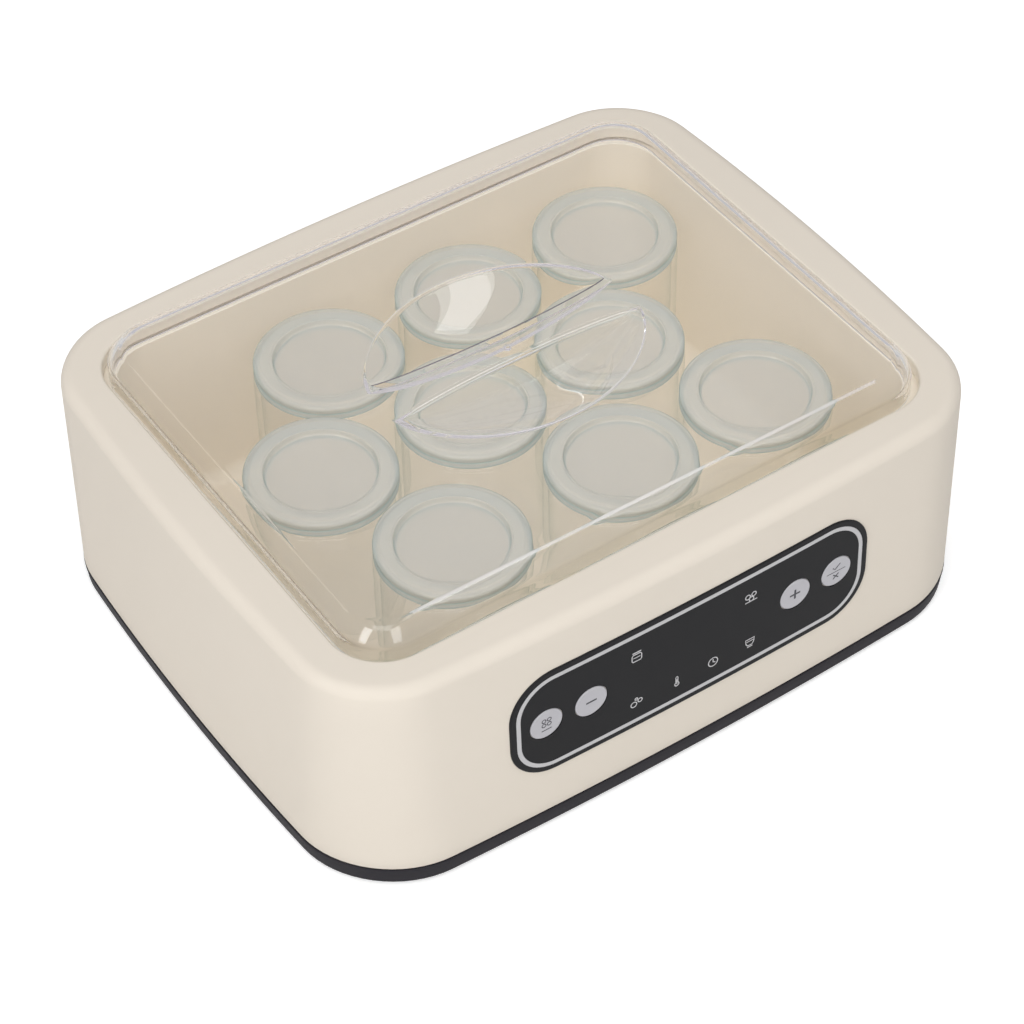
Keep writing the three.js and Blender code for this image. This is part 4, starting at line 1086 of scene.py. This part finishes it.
W1 = 0.42
pot = [([(-1.5, 1.1), (-1.9, 0.4), (-1.9, -1.6), (-1.5, -2.1), (1.5, -2.1), (1.9, -1.6), (1.9, 0.4), (1.5, 1.1)], W1, True), (seg(-1.7, 1.9, 1.7, 1.9), W1 * 1.3, False), (seg(-1.4, -0.4, 1.4, -0.4), W1 * 0.8, False)]
bubbles = [(circ(-1.3, -0.7, 1.15), W1, True), (circ(1.2, 0.3, 0.85), W1, True), (circ(-0.3, 1.5, 0.5, 18), W1, True)]
beans = [(circ(-1.3, 0.3, 1.0), W1, True), (circ(1.2, 0.7, 0.9), W1, True), (circ(0.2, -1.1, 0.95), W1, True), (seg(-2.4, -2.1, 2.6, -2.1), W1, False)]
cup = [([(-1.9, 1.5), (-1.6, -0.4), (-0.9, -1.4), (0.9, -1.4), (1.6, -0.4), (1.9, 1.5)], W1, True), (seg(-1.1, -2.1, 1.1, -2.1), W1, False), (seg(-1.5, 0.5, 1.5, 0.5), W1 * 0.8, False)]
thermo = [(circ(0, -1.4, 0.85, 22, 120, 420), W1, False), ([(-0.42, -0.6), (-0.42, 1.7), (-0.2, 2.1), (0.2, 2.1), (0.42, 1.7), (0.42, -0.6)], W1 * 0.8, False), (seg(0, -1.5, 0, 0.9), W1 * 0.9, False)]
clock = [(circ(0, 0, 1.9, 36), W1, True), (seg(0, 0, 0, 1.25), W1, False), (seg(0, 0, 0.95, -0.45), W1, False)]
S = 1.15
ink("mark_pot", pot, -27.6, 12.0, PRINT, "root", S)
ink("mark_culture", bubbles, -27.6, -13.0, PRINT, "root", S)
ink("mark_temperature", thermo, -9.0, -13.0, PRINT, "root", S)
ink("mark_time", clock, 8.2, -13.0, PRINT, "root", S)
ink("mark_beans", beans, 25.9, 12.0, PRINT, "root", S)
ink("mark_cup", cup, 26.0, -13.0, PRINT, "root", S)
fx, fy = BTN["function"]
ink("mark_function", [(circ(sx * 1.35, 0.9 + sy * 1.35, 1.0, 24), 0.4, True) for sx in (-1, 1) for sy in (-1, 1)] + [(seg(-2.6, -3.6, 2.6, -3.6), 0.45, False)], fx, 0, PRINT_DARK, "button_function", 0.88, 0.03, fy + 0.1)
mx_, my_ = BTN["minus"]
ink("mark_minus", [(seg(-2.4, 0, 2.4, 0), 0.85, False)], mx_, 0, PRINT_DARK, "button_minus", 1.0, 0.03, my_ + 0.11)
px_, py_ = BTN["plus"]
ink("mark_plus", [(seg(-2.5, 0, 2.5, 0), 0.9, False), (seg(0, 0.46, 0, 2.5), 0.9, False), (seg(0, -0.46, 0, -2.5), 0.9, False)], px_, 0, PRINT_DARK, "button_plus", 1.0, 0.03, py_ + 0.11)
cx_, cy_ = BTN["confirm"]
ink("mark_confirm", [(seg(-5.2, 0, 5.2, 0), 0.3, False), ([(-2.0, 2.9), (-0.7, 1.6), (2.1, 4.3)], 0.5, False), (seg(-1.5, -4.2, 1.5, -1.6), 0.5, False), (seg(-1.5, -1.6, -0.25, -2.7), 0.5, False), (seg(0.25, -3.1, 1.5, -4.2), 0.5, False)], cx_, 0, PRINT_DARK, "button_confirm", 0.88, 0.03, cy_ + 0.08)

# ---------------------------------------------------------------- floor, light and camera
def stage_obj(name, verts, faces, material):
    o = make_obj(name, verts, faces, material, None)
    return o


m = Mat("floor_white")
grain = m.ramp(m.noise(40.0, 4.0, 0.6), [(0.3, lin(232, 232, 232)), (0.7, lin(236, 236, 236))])
p = m.principled(Base_Color=grain, Roughness=0.9, Specular_IOR_Level=0.1)
e = m.node("ShaderNodeEmission")
e.inputs[0].default_value = (1, 1, 1, 1)
lp = m.node("ShaderNodeLightPath")
m.link(m.rangemap(lp.outputs["Is Camera Ray"], 0.0, 0.5), e.inputs[1])
ad = m.node("ShaderNodeAddShader")
m.link(p.outputs[0], ad.inputs[0])
m.link(e.outputs[0], ad.inputs[1])
FLOOR = m.finish(ad.outputs[0])
F = 6000.0
stage_obj("floor", [(-F, -F, -0.02), (F, -F, -0.02), (F, F, -0.02), (-F, F, -0.02)], [(0, 1, 2, 3)], FLOOR)

world = bpy.data.worlds.new("studio")
SC.world = world
world.use_nodes = True
wt = world.node_tree
bg = wt.nodes["Background"]
wl = wt.nodes.new("ShaderNodeLightPath")
wr = wt.nodes.new("ShaderNodeValToRGB")  # plain room light, a touch cooler where it is mirrored
wr.color_ramp.elements[0].color = (0.46, 0.46, 0.46, 1)
wr.color_ramp.elements[1].color = (0.54, 0.53, 0.58, 1)
wt.links.new(wl.outputs["Is Glossy Ray"], wr.inputs["Fac"])
wt.links.new(wr.outputs["Color"], bg.inputs[0])
bg.inputs[1].default_value = 1.0


def area(name, loc, target, size, power, size_y=None, colour=(1, 1, 1)):
    li_ = bpy.data.lights.new(name, "AREA")
    li_.shape = "RECTANGLE"
    li_.size, li_.size_y = size, size_y or size
    li_.energy = power
    li_.color = colour
    o = bpy.data.objects.new(name, li_)
    SC.collection.objects.link(o)
    d = (Vector(target) - Vector(loc)).normalized()
    o.location = loc
    o.rotation_euler = d.to_track_quat("-Z", "Y").to_euler()
    return o


# overhead softbox, a strip box either side of the camera, a small one behind, and a fill that isn't mirrored
top = area("soft_top", (0.7048, -0.0407, 2.0), (0.7048, -0.0407, 0.0), 0.898, 2.5, 0.325)
top.rotation_euler = (0.0, 0.0, math.radians(48.7))
area("soft_left", (-1.98, -0.78, 1.26), (-0.11, -0.08, 0.11), 0.55, 15.4, 2.0)
area("soft_front", (-0.35, -2.06, 1.26), (-0.11, -0.08, 0.11), 0.62, 11, 2.0)
back = area("soft_back", (-0.5, 1.32, 1.75), (0, 0, 0.1), 0.32, 1.4, 0.6)
back.visible_glossy = False
fill = area("soft_fill", (-0.6, -0.7, 2.0), (0, 0, 0.1), 1.0, 11.0, 1.0)
fill.visible_glossy = False

C = Vector((-483.6685, -737.2395, 917.9685)) * MM
right = Vector((0.8277030883766632, -0.560972632410066, -0.01474120682489131))
up = Vector((0.4069801389770973, 0.5819900723754221, 0.7040275009789274))
fwd = Vector((0.3863609244863097, 0.588725115264647, -0.7100197002102915))
cam_data = bpy.data.cameras.new("camera")
cam_data.sensor_width = 36.0
cam_data.lens = 36.0 * 3045.035 / 1024.0
cam_data.clip_start, cam_data.clip_end = 0.05, 60.0
cam = bpy.data.objects.new("camera", cam_data)
SC.collection.objects.link(cam)
cam.matrix_world = Matrix(((right.x, up.x, -fwd.x, C.x), (right.y, up.y, -fwd.y, C.y), (right.z, up.z, -fwd.z, C.z), (0, 0, 0, 1)))
SC.camera = cam

SC.view_settings.view_transform = "Standard"
SC.view_settings.look = "None"
SC.view_settings.exposure = 0.0
SC.cycles.max_bounces = 32
SC.cycles.transmission_bounces = 32
SC.cycles.transparent_max_bounces = 32
SC.cycles.glossy_bounces = 24
SC.cycles.diffuse_bounces = 4
SC.cycles.caustics_reflective = False
SC.cycles.caustics_refractive = False
